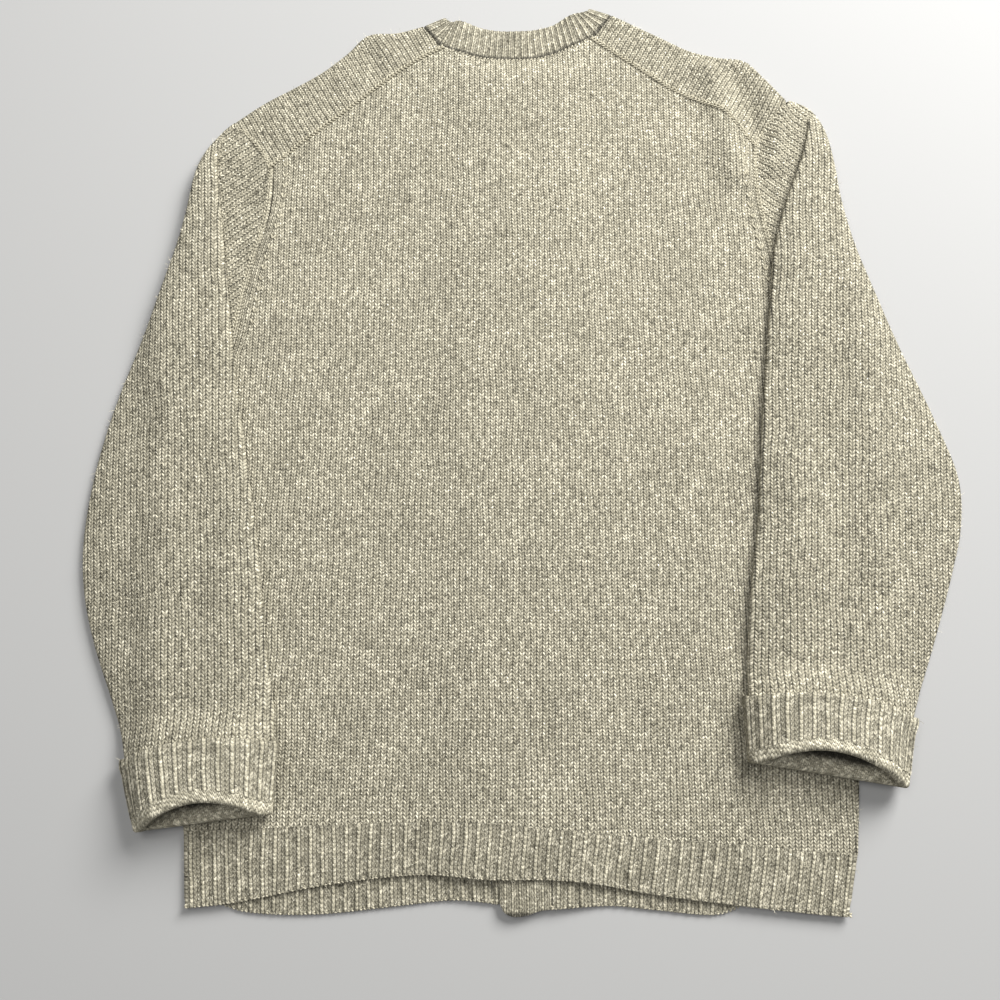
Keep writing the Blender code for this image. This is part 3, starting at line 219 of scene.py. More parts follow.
# %% [markdown]
# ## Curves and heights
# A few points describe each line. A spline reads it as densely as the fine grid needs. Heights are
# fields over the plan: the back is lifted in the middle by the doubled button bands, and it sags
# into the neck. Real cloth never lies quite flat, so the fold tables add soft ridges (up) and
# troughs (down). Each is a line with a width and a height, placed where the photographed
# garment has one.

# %% Curves
def smoothstep(value):
    """0 below 0, 1 above 1, and a smooth rise between."""
    value = np.clip(value, 0.0, 1.0)
    return value * value * (3 - 2 * value)


def blend(a, b, share):
    return a + (b - a) * share


def spline(points, places):
    """A smooth curve through points (one per whole number), read at the given places."""
    points = np.asarray(points, float)
    places = np.asarray(places, float)
    last = len(points) - 1
    start = np.clip(places.astype(int), 0, last - 1)
    share = (places - start)[:, None]
    before = points[np.maximum(start - 1, 0)]
    here, there = points[start], points[start + 1]
    after = points[np.minimum(start + 2, last)]
    leave, arrive = (there - before) / 2, (after - here) / 2
    square, cube = share**2, share**3
    return (
        (2 * cube - 3 * square + 1) * here
        + (cube - 2 * square + share) * leave
        + (3 * square - 2 * cube) * there
        + (cube - square) * arrive
    )


def finer(points, count):
    """The line through these points, read at count even places."""
    return spline(points, np.linspace(0, len(points) - 1, count))


def climbing(points, count):
    """A line that only climbs, read at count even steps of its height."""
    dense = finer(points, 40 * len(points))
    ys = np.maximum.accumulate(dense[:, 1])
    heights = np.linspace(ys[0], ys[-1], count)
    return np.column_stack([np.interp(heights, ys, dense[:, 0]), heights])


def line_of(table, kind, rows=None):
    """One line of a table, such as its seam or its fold, as places in plan."""
    columns = (kind + "_x", kind + "_y")
    return np.array([[getattr(row, column) for column in columns] for row in table[:rows]])


def edge_y(table, x, column="edge_y"):
    """Height of an edge table at x, along a smooth line through its rows."""
    line = finer([(row.x, getattr(row, column)) for row in table], 12 * len(table))
    return np.interp(x, line[:, 0], line[:, 1])


def side_x(y, side):
    return np.interp(y, [row.y for row in SIDES], [getattr(row, side + "_x") for row in SIDES])


# %% Soft folds of the body and of the sleeves
Fold = namedtuple("Fold", "x0 y0 x1 y1 width height")
BODY_FOLDS = table_of(
    Fold,
    # the right shoulder: a ridge and a hollow that run down from the bump in its outline
    (0.166, 0.690, 0.186, 0.590, 0.012, 0.0044),
    (0.188, 0.694, 0.207, 0.628, 0.010, -0.0030),
    (0.206, 0.690, 0.226, 0.652, 0.008, 0.0022),
    (0.199, 0.620, 0.200, 0.520, 0.012, -0.0012),
    # the left shoulder: short waves across its strip
    (-0.150, 0.696, -0.134, 0.676, 0.006, 0.0012),
    (-0.134, 0.712, -0.120, 0.690, 0.006, -0.0012),
    (-0.118, 0.715, -0.104, 0.695, 0.006, 0.0010),
    (-0.196, 0.620, -0.190, 0.560, 0.012, -0.0010),
    # where the edge of the doubled bands shows through the back
    (-0.004, 0.110, -0.006, 0.600, 0.005, 0.0007),
    # hollows beside the sleeves
    (0.180, 0.480, 0.165, 0.200, 0.014, -0.0012),
    (-0.200, 0.360, -0.180, 0.200, 0.014, -0.0008),
)
HEAD_FOLDS = table_of(
    Fold,
    # along the right armhole: a ridge at its top, and a hollow below it
    (0.2272, 0.650, 0.2150, 0.594, 0.006, 0.0036),
    (0.216, 0.585, 0.205, 0.525, 0.010, -0.0026),
    # a slight hollow along the left armhole
    (-0.222, 0.630, -0.224, 0.560, 0.008, -0.0010),
)
SLEEVE_FOLDS = table_of(
    Fold,
    (-0.285, 0.470, -0.300, 0.250, 0.022, 0.0014),
    (-0.250, 0.330, -0.235, 0.200, 0.018, -0.0014),
    (-0.225, 0.250, -0.215, 0.120, 0.014, 0.0012),
    (0.262, 0.500, 0.300, 0.330, 0.018, 0.0014),
    (0.240, 0.400, 0.262, 0.240, 0.020, -0.0014),
    (0.215, 0.330, 0.205, 0.180, 0.014, 0.0012),
)


def folds(x, y, table):
    """Height that the folds of a table add at a place, in metres."""
    total = np.zeros(np.shape(x))
    for row in table:
        start, end = np.array([row.x0, row.y0]), np.array([row.x1, row.y1])
        along = end - start
        share = ((x - start[0]) * along[0] + (y - start[1]) * along[1]) / (along @ along)
        near = np.clip(share, 0, 1)
        off = np.hypot(x - start[0] - near * along[0], y - start[1] - near * along[1])
        total += row.height * np.exp(-((off / row.width) ** 2))
    return total


# %% Heights of the layers
RIDGE_HEIGHT, RIDGE_FROM, RIDGE_TO, RIDGE_SLOPE = 0.0036, -0.026, 0.034, 0.055
RIDGE_END, RIDGE_FADE = 0.700, 0.025
NECK_SAG, SAG_FROM, SAG_FADE = 0.0028, 0.684, 0.018
SAG_CENTRE, SAG_HALF_WIDTH, SAG_SIDE = 0.002, 0.052, 0.024
BAND_X = {"left": (-0.020, 0.018), "right": (-0.014, 0.024)}
CENTRE_X = {"left": BAND_X["left"][0], "right": BAND_X["right"][1]}    # where a front meets its band
FRONT_RISE, FRONT_SLOPE = {"left": 0.0011, "right": 0.0032}, 0.045
DROP, BODY_REACH = 0.035, 0.011         # the slope beyond the body's outline, and where it starts


def ridge(x, y):
    """How far the doubled bands lift the back."""
    from_left = smoothstep((x - RIDGE_FROM + RIDGE_SLOPE) / RIDGE_SLOPE)
    from_right = smoothstep((RIDGE_TO + RIDGE_SLOPE - x) / RIDGE_SLOPE)
    return RIDGE_HEIGHT * np.minimum(from_left, from_right) * smoothstep((RIDGE_END - y) / RIDGE_FADE)


def neck_sag(x, y):
    """How far the back sinks where the neck opening leaves nothing under it."""
    over_opening = smoothstep((SAG_HALF_WIDTH - abs(x - SAG_CENTRE)) / SAG_SIDE)
    return NECK_SAG * smoothstep((y - SAG_FROM) / SAG_FADE) * over_opening


def back_z(x, y):
    return BACK_Z + ridge(x, y) - neck_sag(x, y) + folds(x, y, BODY_FOLDS)


def front_z(x, side):
    """Middle of a front panel, which rises to the button band it is sewn to."""
    past = (CENTRE_X[side] - x) * SIGN[side]
    return FRONT_Z + FRONT_RISE[side] * smoothstep(past / FRONT_SLOPE + 1)


def inside_body(x, y, side):
    """Distance inside the body's outline, negative outside it, for what lies over that side."""
    ys = [row.y for row in SIDES] + [row.outer_y for row in ARM[side]]
    xs = [abs(getattr(row, side + "_x")) for row in SIDES] + [abs(row.outer_x) for row in ARM[side]]
    return np.interp(y, ys, xs) - abs(x)


def support(x, y, side):
    """Height of what a sleeve lies on: the back, the surface beyond it, and a soft slope between."""
    depth = inside_body(x, y, side) + BODY_REACH
    return 2 * LAYER * (1 - smoothstep(-depth / DROP))


print("back at the bands", float(back_z(0.0, 0.3)), "and at the neck", float(back_z(0.0, 0.72)))

# %% [markdown]
# ## From a grid to cloth
# Each piece starts as the middle of its cloth: a grid of points. Two skins half a thickness away on
# either side, and a rim round the edge, make a closed wall, which is what real cloth is. The grid
# also carries knit coordinates in metres: u across the stitch columns (wales) and v along them, as
# a knitter counts them. The face side takes one material and the wrong side another, because a
# plain knit shows smooth V stitches on its face and bumpy purl stitches on its back.

# %% Grid tools
def coons(bottom, top, left, right, shares, late=1.0):
    """Fills four boundary lines with rows and columns. shares gives each column's place across.

    late above 1 keeps the rows like the bottom for longer, so that they don't cross at an underarm.
    """
    rows = np.linspace(0, 1, len(left))[:, None, None] ** late
    columns = np.asarray(shares)[None, :, None]
    ruled_up = blend(bottom[None], top[None], rows)
    ruled_across = blend(left[:, None], right[:, None], columns)
    corners = blend(
        blend(bottom[0], bottom[-1], columns), blend(top[0], top[-1], columns), rows
    )
    return ruled_up + ruled_across - corners


def pull_in(grid, sides):
    """Moves the named edges of a grid in by EDGE_PULL, along the grid, to part the seams."""
    grid = grid.copy()
    edges = {"bottom": (0, 1, 0), "top": (-1, -2, 0), "left": (0, 1, 1), "right": (-1, -2, 1)}
    for name in sides:
        edge, inner, axis = edges[name]
        outer_row = grid[edge] if axis == 0 else grid[:, edge]
        inner_row = grid[inner] if axis == 0 else grid[:, inner]
        step = inner_row - outer_row
        outer_row += step / np.linalg.norm(step, axis=1, keepdims=True) * EDGE_PULL
    return grid


def tangents(grid, closed=False):
    """Unit directions along the first axis of a grid, whatever the spacing of its points."""
    if closed:
        grid = np.concatenate([grid[-1:], grid, grid[:1]])
    step = np.diff(grid, axis=0)
    step = step / np.linalg.norm(step, axis=-1, keepdims=True)
    if closed:
        return step[:-1] + step[1:]
    first = 1.5 * step[:1] - 0.5 * step[1:2] if len(step) > 1 else step
    last = 1.5 * step[-1:] - 0.5 * step[-2:-1] if len(step) > 1 else step
    return np.concatenate([first, step[:-1] + step[1:], last])


def normals_of(grid, closed):
    """Unit normals at the points of a grid. closed joins the last column to the first."""
    across = np.swapaxes(tangents(np.swapaxes(grid, 0, 1), closed), 0, 1)
    normal = np.cross(across, tangents(grid))
    return normal / np.linalg.norm(normal, axis=2, keepdims=True)


def rolled(plan, z, roll, direction, sides, skip=1):
    """Gives a flat panel rolled edges: where roll is 1 its side turns through a quarter circle.

    direction is 1 for up and -1 for down. skip is how many of the panel's columns the curl replaces.
    """
    quarter = math.pi / 2 * TURN - EDGE_PULL
    bend = np.maximum(np.asarray(roll, float), 1e-4) / TURN
    middle = np.dstack([plan, z])
    for side in sides:
        edge, inner = (plan[:, 0], plan[:, 1]) if side == "left" else (plan[:, -1], plan[:, -2])
        level = z[:, 0] if side == "left" else z[:, -1]
        inward = (inner - edge) / np.linalg.norm(inner - edge, axis=1, keepdims=True)
        foot = edge + inward * (np.sin(bend * quarter) / bend)[:, None]
        curl = []
        for run in np.linspace(0, quarter, ROLL_STEPS + 1):
            out = (np.sin(bend * run) / bend)[:, None]
            height = level + direction * (1 - np.cos(bend * run)) / bend
            curl.append(np.column_stack([foot - inward * out, height]))
        curl = np.stack(curl, axis=1)
        if side == "left":
            middle = np.concatenate([curl[:, ::-1], middle[:, skip:]], axis=1)
        else:
            middle = np.concatenate([middle[:, :-skip], curl], axis=1)
    return middle


# %% Faces of a grid
def quads(rows, columns, closed):
    """Corners of every face of a grid, as (row, column) places. closed joins the last column."""
    i, j = np.meshgrid(np.arange(rows - 1), np.arange(columns if closed else columns - 1),
                       indexing="ij")
    i, j = i.ravel(), j.ravel()
    return np.stack([np.stack([i, j], 1), np.stack([i, j + 1], 1),
                     np.stack([i + 1, j + 1], 1), np.stack([i + 1, j], 1)], axis=1)


def rim(rows, columns, closed, cap_from):
    """Pairs of neighbouring places round a wall's open edges."""
    reach = range(columns if closed else columns - 1)
    pairs = [((rows - 1, j), (rows - 1, j + 1)) for j in reach]
    if cap_from is None:
        pairs += [((0, j + 1), (0, j)) for j in reach]
    if not closed:
        pairs += [((i, 0), (i + 1, 0)) for i in range(rows - 1)]
        pairs += [((i + 1, columns - 1), (i, columns - 1)) for i in range(rows - 1)]
    return np.array(pairs)


# %% A wall of cloth
def wall(grid, uv, above, below, closed=False, cap_from=None, outside=0, bands=()):
    """Points, faces, corner coordinates and sides (0 face, 1 wrong side) of one wall of cloth.

    outside is 0 if the grid's normal points out of the garment, else 1. Each band is a first column,
    an end column, a first row and the knit coordinates that hold there instead of uv.
    """
    rows, columns = grid.shape[:2]
    normal = normals_of(grid, closed)
    above, below = (np.broadcast_to(t, (rows, columns)) for t in (above, below))
    outer = grid + normal * above[..., None]
    inner = grid - normal * below[..., None]
    points = np.concatenate([outer.reshape(-1, 3), inner.reshape(-1, 3)])
    first = rows * columns
    start = cap_from or 0

    def index(place):
        return place[..., 0] * columns + place[..., 1] % columns

    over = quads(rows, columns, closed)
    under = over[over[:, 0, 0] >= start][:, ::-1]
    edge = rim(rows, columns, closed, cap_from)
    side = np.concatenate([index(edge), first + index(edge[:, ::-1])], axis=1)
    faces = np.concatenate([index(over), first + index(under), side])
    places = np.concatenate([over, under, np.concatenate([edge, edge[:, ::-1]], axis=1)])
    corner = uv[places[..., 0], places[..., 1]]
    least = places.min(axis=1)
    for start_column, end_column, start_row, other in bands:
        inside = (least[:, 1] >= start_column) & (least[:, 1] < end_column) & (least[:, 0] >= start_row)
        corner[inside] = other[places[inside][..., 0], places[inside][..., 1]]
    sides = np.concatenate([np.zeros(len(over)), np.ones(len(under)), np.zeros(len(side))])
    sides = abs(sides - outside)
    return points, faces, corner, sides, (columns, first, start, len(side))


# %% From walls to an object
def linked(name, data):
    """A new object in the scene."""
    thing = bpy.data.objects.new(name, data)
    bpy.context.scene.collection.objects.link(thing)
    return thing


def mesh_of(name, points, edges, faces):
    mesh = bpy.data.meshes.new(name)
    mesh.from_pydata(points, edges, faces)
    return mesh


def sharpen(mesh, faces):
    """Marks the edges of some four-sided faces, so that a cut edge doesn't darken the cloth."""
    starts = np.empty(len(mesh.polygons), dtype=np.int32)
    mesh.polygons.foreach_get("loop_start", starts)
    edges = np.empty(len(mesh.loops), dtype=np.int32)
    mesh.loops.foreach_get("edge_index", edges)
    sharp = np.zeros(len(mesh.edges), dtype=bool)
    sharp[edges[starts[faces][:, None] + np.arange(4)]] = True
    mesh.edges.foreach_set("use_edge_sharp", sharp)


def piece(name, walls, materials):
    """An object from one wall or several. Its knit coordinates are a UV layer named knit."""
    shape_points, shape_faces, corners, sides, caps, cuts = [], [], [], [], [], []
    base = 0
    for points, faces, corner, side, (columns, first, start, cut) in walls:
        cuts += range(len(shape_faces) + len(faces) - cut, len(shape_faces) + len(faces))
        shape_points.append(points - (*ORIGIN, 0.0))
        shape_faces += (faces + base).tolist()
        corners.append(corner.reshape(-1, 2))
        sides.append(side)
        if start:
            caps.append([base + j for j in range(columns)])
            caps.append([base + first + start * columns + j for j in range(columns)])
        base += len(points)
    mesh = mesh_of(name, np.concatenate(shape_points).tolist(), [], shape_faces + caps)
    layer = mesh.uv_layers.new(name="knit")
    flat = np.zeros((len(mesh.loops), 2))
    placed = np.concatenate(corners)
    flat[: len(placed)] = placed
    layer.uv.foreach_set("vector", flat.ravel())
    index = np.zeros(len(mesh.polygons), dtype=np.int32)
    index[: len(shape_faces)] = np.concatenate(sides)
    for material in materials:
        mesh.materials.append(material)
    mesh.polygons.foreach_set("material_index", index)
    shape = bmesh.new()
    shape.from_mesh(mesh)
    loose = [v for v in shape.verts if not v.link_faces]
    bmesh.ops.delete(shape, geom=loose, context="VERTS")
    bmesh.ops.recalc_face_normals(shape, faces=shape.faces)
    shape.to_mesh(mesh)
    shape.free()
    mesh.shade_smooth()
    sharpen(mesh, np.array(cuts))
    area = sum(face.area for face in mesh.polygons) / 2
    print(f"{name}: {len(mesh.polygons)} faces, {area:.4f} m2 of cloth")
    return linked(name, mesh)


def facing_up(grid, row, column):
    """Whether a grid's normal points up at a place."""
    return normals_of(grid, False)[row, column, 2] > 0


# %% [markdown]
# ## Yarn and stitches
# The yarn is carded wool: dark, grey-green, cream and nearly white fibres spun together, so it
# looks heathered. A plain knit is rows of small V's. Each V has two legs, and each leg is a short
# fat slanted piece of yarn. There are tens of thousands of stitches, too many to model one by one,
# so the shader draws them. It reads the knit coordinates, finds which stitch it is in, and works
# out the leg's rounded height. That height makes the bump, and it paints shade into the colour of
# the gaps between legs and rows. A random number for each leg and fine noise along it give the
# heather.

# %% A helper for shader nodes
class Field:
    """A node's output with arithmetic. Each operation makes one Math node.

    The methods with an r are for a Field that comes second, as in 1 - height.
    """

    def __init__(self, net, socket):
        self.net, self.socket = net, socket

    def __add__(self, other):
        return self.net.math("ADD", self, other)

    def __radd__(self, other):
        return self.net.math("ADD", other, self)

    def __sub__(self, other):
        return self.net.math("SUBTRACT", self, other)

    def __rsub__(self, other):
        return self.net.math("SUBTRACT", other, self)

    def __mul__(self, other):
        return self.net.math("MULTIPLY", self, other)

    def __rmul__(self, other):
        return self.net.math("MULTIPLY", other, self)

    def __truediv__(self, other):
        return self.net.math("DIVIDE", self, other)

    def __rtruediv__(self, other):
        return self.net.math("DIVIDE", other, self)

    def __pow__(self, other):
        return self.net.math("POWER", self, other)

    def __rpow__(self, other):
        return self.net.math("POWER", other, self)


class Net:
    """A material's nodes. node() is the only place that makes one."""

    def __init__(self, name):
        self.material = bpy.data.materials.new(name)
        self.material.use_nodes = True
        self.tree = self.material.node_tree
        self.shader = self.tree.nodes["Principled BSDF"]

    def node(self, kind, inputs=(), output=0, **settings):
        made = self.tree.nodes.new(kind)
        for key, value in settings.items():
            setattr(made, key, value)
        for key, value in inputs:
            self.feed(made.inputs[key], value)
        return Field(self, made.outputs[output])

    def feed(self, socket, value):
        if isinstance(value, Field):
            self.tree.links.new(value.socket, socket)
        else:
            socket.default_value = value

    def math(self, operation, *values):
        return self.node("ShaderNodeMath", enumerate(values), operation=operation)

    def ease(self, value, low, high, to_low=0.0, to_high=1.0):
        ends = ((0, value), (1, low), (2, high), (3, to_low), (4, to_high))
        return self.node("ShaderNodeMapRange", ends, interpolation_type="SMOOTHSTEP")

    def point(self, x, y, z=0.0):
        return self.node("ShaderNodeCombineXYZ", enumerate((x, y, z)))

    def noise(self, place, scale, detail=2.0):
        inputs = (("Vector", place), ("Scale", scale), ("Detail", detail))
        return self.node("ShaderNodeTexNoise", inputs, noise_dimensions="3D")

    def chance(self, x, y, z):
        place = self.point(x, y, z)
        return self.node("ShaderNodeTexWhiteNoise", [("Vector", place)], noise_dimensions="3D")

    def mix(self, share, a, b, blend_type="MIX"):
        inputs = ((0, share), (6, a), (7, b))
        return self.node("ShaderNodeMix", inputs, output=2, data_type="RGBA", blend_type=blend_type)

    def finish(self, *inputs):
        """Feeds the shader's sockets and gives back the material."""
        for key, value in inputs:
            self.feed(self.shader.inputs[key], value)
        print("material", self.material.name, len(self.tree.nodes), "nodes")
        return self.material


# %% Knit coordinates
def knit_coordinates(net, wander=0.0007):
    """u and v from the knit layer, with a slow wander, as no row of worn knit is quite straight."""
    source = net.node("ShaderNodeUVMap", uv_map="knit")
    place = net.node("ShaderNodeSeparateXYZ", [(0, source)])
    u, v = place, Field(net, place.socket.node.outputs[1])
    here = net.point(u, v)
    u = u + (net.noise(here, 22.0, 1.0) - 0.5) * wander * 6
    v = v + (net.noise(net.point(v, u, 3.0), 17.0, 1.0) - 0.5) * wander * 8
    return u, v


# %% One stitch
SLANT = 0.85                # how many courses a leg climbs on its way out


def knit_stitch(net, across, climb):
    """Height (0 to 1) and a random number for each leg. across counts wales, and climb courses."""
    column = net.math("FLOOR", across)
    off = across - column - 0.5
    spread = net.math("ABSOLUTE", off)
    shift = net.chance(column, 3.0, 7.0) * 0.16
    climb = climb - spread * 2 * SLANT + shift
    row = net.math("FLOOR", climb)
    along = (climb - row - 0.5) * 2
    leg = net.math("SQRT", net.math("MAXIMUM", 1 - (1 - spread * 4) ** 2, 0.0))
    height = leg * (1 - along * along * 0.7) + (0.15 - spread * 0.6)
    return height, net.chance(column, row, net.math("SIGN", off))


def purl_stitch(net, across, climb):
    """The wrong side: rows of small bumps, each row half a bump along from the next."""
    half = net.math("FLOOR", across * 2)
    wave = net.math("COSINE", across * (4 * math.pi)) * 0.25 + net.math("MODULO", half, 2.0) * 0.5
    row = net.math("FLOOR", climb + wave)
    along = (climb + wave - row - 0.5) * 2
    height = 0.92 - along * along * 0.62
    return height, net.chance(half, row, 5.0)


def rib_stitch(net, across, climb):
    """One knit wale on top of each rib, where across is whole, and purls in the valley."""
    column = net.math("ROUND", across)
    off = across - column
    spread = net.math("ABSOLUTE", off)
    shift = net.chance(column, 3.0, 7.0) * 0.4
    rise = climb - spread * 3 * SLANT + shift
    row = net.math("FLOOR", rise)
    along = (rise - row - 0.5) * 2
    leg = net.math("SQRT", net.math("MAXIMUM", 1 - (spread * 6.0) ** 2, 0.0))
    knit = leg * (1 - along * along * 0.45)
    purl, _ = purl_stitch(net, across * 1.5, climb)
    valley = net.ease(spread, 0.13, 0.20)
    ditch = net.ease(net.math("ABSOLUTE", spread - 0.19), 0.01, 0.07, 0.48, 1.0)
    ditch = ditch * net.ease(0.5 - spread, 0.0, 0.07, 0.5, 1.0)
    height = knit * (1 - valley) + (purl * 0.60 + 0.14) * valley * ditch
    return height, net.chance(column, row, net.math("SIGN", off)), valley


# %% Heathered wool
DARK, MIDDLE, LIGHT, FLECK = (
    (0.100, 0.091, 0.064, 1), (0.350, 0.322, 0.238, 1), (0.80, 0.74, 0.57, 1), (0.96, 0.91, 0.74, 1)
)
DULL = (("Roughness", 0.92), ("Specular IOR Level", 0.25))
HEATHER, YARN, LEG, PATCH = 0.85, 0.8, 0.42, 0.26       # how much each kind of change shows
LIP_FROM, LIP_TO, LIP_DARK = 0.0048, 0.0118, 0.88       # the shade inside a sleeve's mouth
# Painted shade in the groove past the collar's seam: where it starts and ends in v, and its darkest
# share.
CREASE_FROM, CREASE_TO, CREASE_DARK = 0.0016, 0.0044, 0.25


def fibres(net, share):
    """The wool's colour, from dark to light as share goes from 0 to 1."""
    colour = net.mix(net.ease(share, 0.0, 0.5), DARK, MIDDLE)
    return net.mix(net.ease(share, 0.5, 1.0), colour, LIGHT)


def wool(name, stitch, wale, course, tone=0.5, depth=0.0009, mouth=None, crease_shade=False):
    """A heathered knit. stitch is one of the three functions above; tone lightens or darkens it.

    mouth is for the inside of a sleeve: where its lower layer starts in u, which way that layer
    runs, and the slope and place of its lip in v. Little light gets past the lip, so the colour
    there gets painted shade. crease_shade paints shade into the narrow groove just past a seam
    that lies where v is 0.
    """
    net = Net(name)
    u, v = knit_coordinates(net)
    height, chance, *valley = stitch(net, u / wale, v / course)
    heather = net.noise(net.point(u, v), 1300.0, 1.5)
    yarn = net.noise(net.point(u * 0.45, v, 6.0), 430.0, 1.0)
    patch = net.noise(net.point(u, v, 9.0), 26.0, 3.0)
    share = (heather - 0.5) * HEATHER + (yarn - 0.5) * YARN
    share = share + (chance - 0.5) * LEG + (patch - 0.5) * PATCH + tone
    fleck = net.noise(net.point(u, v, 4.0), 700.0, 1.0)
    colour = net.mix(net.ease(fleck, 0.64, 0.72, 0.0, 0.85), fibres(net, share), FLECK)
    # Painted shade: the colour darkens where a stitch is low, in the gaps between its legs and rows,
    # and more in the valleys between ribs.
    painted_shade = net.ease(height, -0.05, 0.85, 0.08, 0.98)
    if valley:
        painted_shade = painted_shade * net.ease(valley[0], 0.0, 1.0, 1.0, 0.88)
    if mouth:
        edge, way, slope, place = mouth
        lower = net.ease((u - edge) * way, 0.0, 0.004)
        deep = net.ease(v - u * slope - place, LIP_FROM, LIP_TO)
        painted_shade = painted_shade * (1 - lower * deep * LIP_DARK)
    # Painted shade in the narrow groove past the seam, drawn where v is small.
    if crease_shade:
        straight_v = knit_coordinates(net, 0.0)[1]
        painted_shade = painted_shade * net.ease(straight_v, CREASE_FROM, CREASE_TO, CREASE_DARK, 1.0)
    shade = net.node("ShaderNodeCombineColor", enumerate((painted_shade, painted_shade, painted_shade)))
    colour = net.mix(1.0, colour, shade, "MULTIPLY")
    hair = net.noise(net.point(u, v * 0.4, 2.0), 2600.0, 1.0)
    bump = net.node("ShaderNodeBump", (
        ("Strength", 1.0), ("Distance", depth), ("Height", height + hair * 0.25)))
    return net.finish(("Base Color", colour), ("Normal", bump), *DULL)


# %% The knits of this garment
HEM_RIB_PITCH, NECK_RIB_PITCH, CUFF_RIB_PITCH = 0.0088, 0.0055, 0.0105
KNIT = [wool("knit_face", knit_stitch, WALE, COURSE, 0.52),
        wool("knit_wrong_side", purl_stitch, WALE, COURSE, 0.42)]
# The fronts are the back's knit at a darker tone: painted shade on their strips over the shoulders,
# where the lamp lights the cloth more than elsewhere.
SHADED_FRONT_FACE = wool("front_face", knit_stitch, WALE, COURSE, 0.48)
SLEEVE_FACE = wool("sleeve_face", knit_stitch, SLEEVE_WALE, SLEEVE_COURSE, 0.46)
RIB = [wool("hem_rib", rib_stitch, HEM_RIB_PITCH, 0.0030, 0.51)] * 2
FINE_RIB = [wool("collar_rib", rib_stitch, NECK_RIB_PITCH, 0.0028, 0.53, crease_shade=True)] * 2
CUFF_RIB = [wool("cuff_rib", rib_stitch, CUFF_RIB_PITCH, 0.0032, 0.58)] * 2

# %% [markdown]
# ## The back
# One knitted panel, bounded by the side seams, the armholes, the shoulder seams and the neck. Its
# four edges are smooth lines, and a Coons patch fills them, as a knitter shapes a panel by its
# edges. Below the arms its sides roll down to meet the fronts.


# %% Edges of the body
SIDE_ROWS = 6
ROLL_ENDS, ROLL_FADE = 0.362, 0.035


def side_line(side, low_y, high_y, rows):
    """The cloth's middle along a rolled side edge."""
    ys = np.linspace(low_y, high_y, rows)
    return np.column_stack([side_x(ys, side) - SIGN[side] * HALF, ys])


def fold_frame(table):
    """A shoulder fold: its line drawn in by the cloth's reach, and the way out of it, in plan."""
    line = line_of(table, "fold")
    along = np.gradient(line, axis=0)
    out = np.column_stack([-along[:, 1], along[:, 0]])
    out *= np.sign(out[:, 1:2])
    out /= np.linalg.norm(out, axis=1, keepdims=True)
    return line - out * (TURN + HALF), out


def turn_rows(line, out, low_z, high_z, steps):
    """Rows round a fold from one layer up to the next, without its first and last row."""
    low = np.broadcast_to(low_z, len(line))
    radius = (high_z - low) / 2
    rows = []
    for step in range(1, steps):
        angle = math.pi * step / steps
        place = line + out * radius[:, None] * math.sin(angle)
        rows.append(np.column_stack([place, low + radius * (1 - math.cos(angle))]))
    return rows


def roll_at(heights):
    """1 along the side seam, easing to 0 at the underarm."""
    return 1 - smoothstep((heights - ROLL_ENDS) / ROLL_FADE)


# %% Make the back
# Next to each armhole the last four wales follow the seam. A knitter narrows the panel inside them,
# which leaves a line of small marks where the straight wales run out.
BACK_COLUMNS, BACK_ROWS = 141, 165
ARM_COLUMNS = ROLL_STEPS + 5
FASHIONED_FROM = 0.425      # height in the plan where the columns start to follow the armhole


def make_back():
    corner = len(ARM["left"]) - 2
    shoulders = [line_of(SHOULDER[side], "seam") for side in BOTH]
    neck = line_of(NECK_BACK[3:-3], "seam")
    top = finer(np.concatenate([shoulders[0], neck, shoulders[1][::-1]]), BACK_COLUMNS)
    shares = (top[:, 0] - top[0, 0]) / (top[-1, 0] - top[0, 0])
    edges = {}
    for side, hem_end in zip(BOTH, (BACK_HEM[0], BACK_HEM[-1])):
        arm = ARM[side]
        line = side_line(side, hem_end.top_y, arm[0].back_y, SIDE_ROWS + 1)[:-1]
        edges[side] = climbing([*line, *line_of(arm, "back", corner)], BACK_ROWS)
    xs = blend(edges["left"][0, 0], edges["right"][0, 0], shares)
    bottom = np.column_stack([xs, edge_y(BACK_HEM, xs, "top_y")])
    plan = coons(bottom, top, edges["left"], edges["right"], shares, late=3)
    plan = pull_in(plan, ["top"])
    z = back_z(plan[..., 0], plan[..., 1])
    grid = rolled(plan, z, roll_at(plan[:, 0, 1]), -1, ["left", "right"])
    underarm = int(np.argmax(plan[:, 0, 1] > FASHIONED_FROM))
    last = grid.shape[1] - 1
    bands, mark_lines = [], []
    for columns, edge in (((0, ARM_COLUMNS), 0), ((last - ARM_COLUMNS, last), -1)):
        rim_line = grid[:, edge]
        run = np.concatenate([[0], np.cumsum(np.linalg.norm(np.diff(rim_line, axis=0), axis=1))])
        off = np.linalg.norm(grid - rim_line[:, None], axis=2)
        bands.append((*columns, underarm, np.dstack([off, np.broadcast_to(run[:, None], off.shape)])))
        mark_lines.append(grid[underarm + 8 :, columns[1] if edge == 0 else columns[0]])
    uv = grid[..., :2].copy()
    return piece("look_back", [wall(grid, uv, HALF, HALF, bands=bands)], KNIT), mark_lines


back, mark_lines = make_back()

# %% [markdown]
# ## Ribbed hems and bands
# Ribs are columns of knit stitches that stand up between columns of purl. They are real relief
# here, a cosine across the cloth, because they show in the outline of the hem. The hem's cast-on
# edge is thinner and rounded.


# %% Ribs
FRONT_RIB_TOP = 0.052
HEM_SIDE_Y = 0.030          # where the hem's width is taken, about half way up it
RIB_RISE = 0.0013           # how far a rib's top stands above its valley
PER_RIB = 8                 # grid columns to a rib


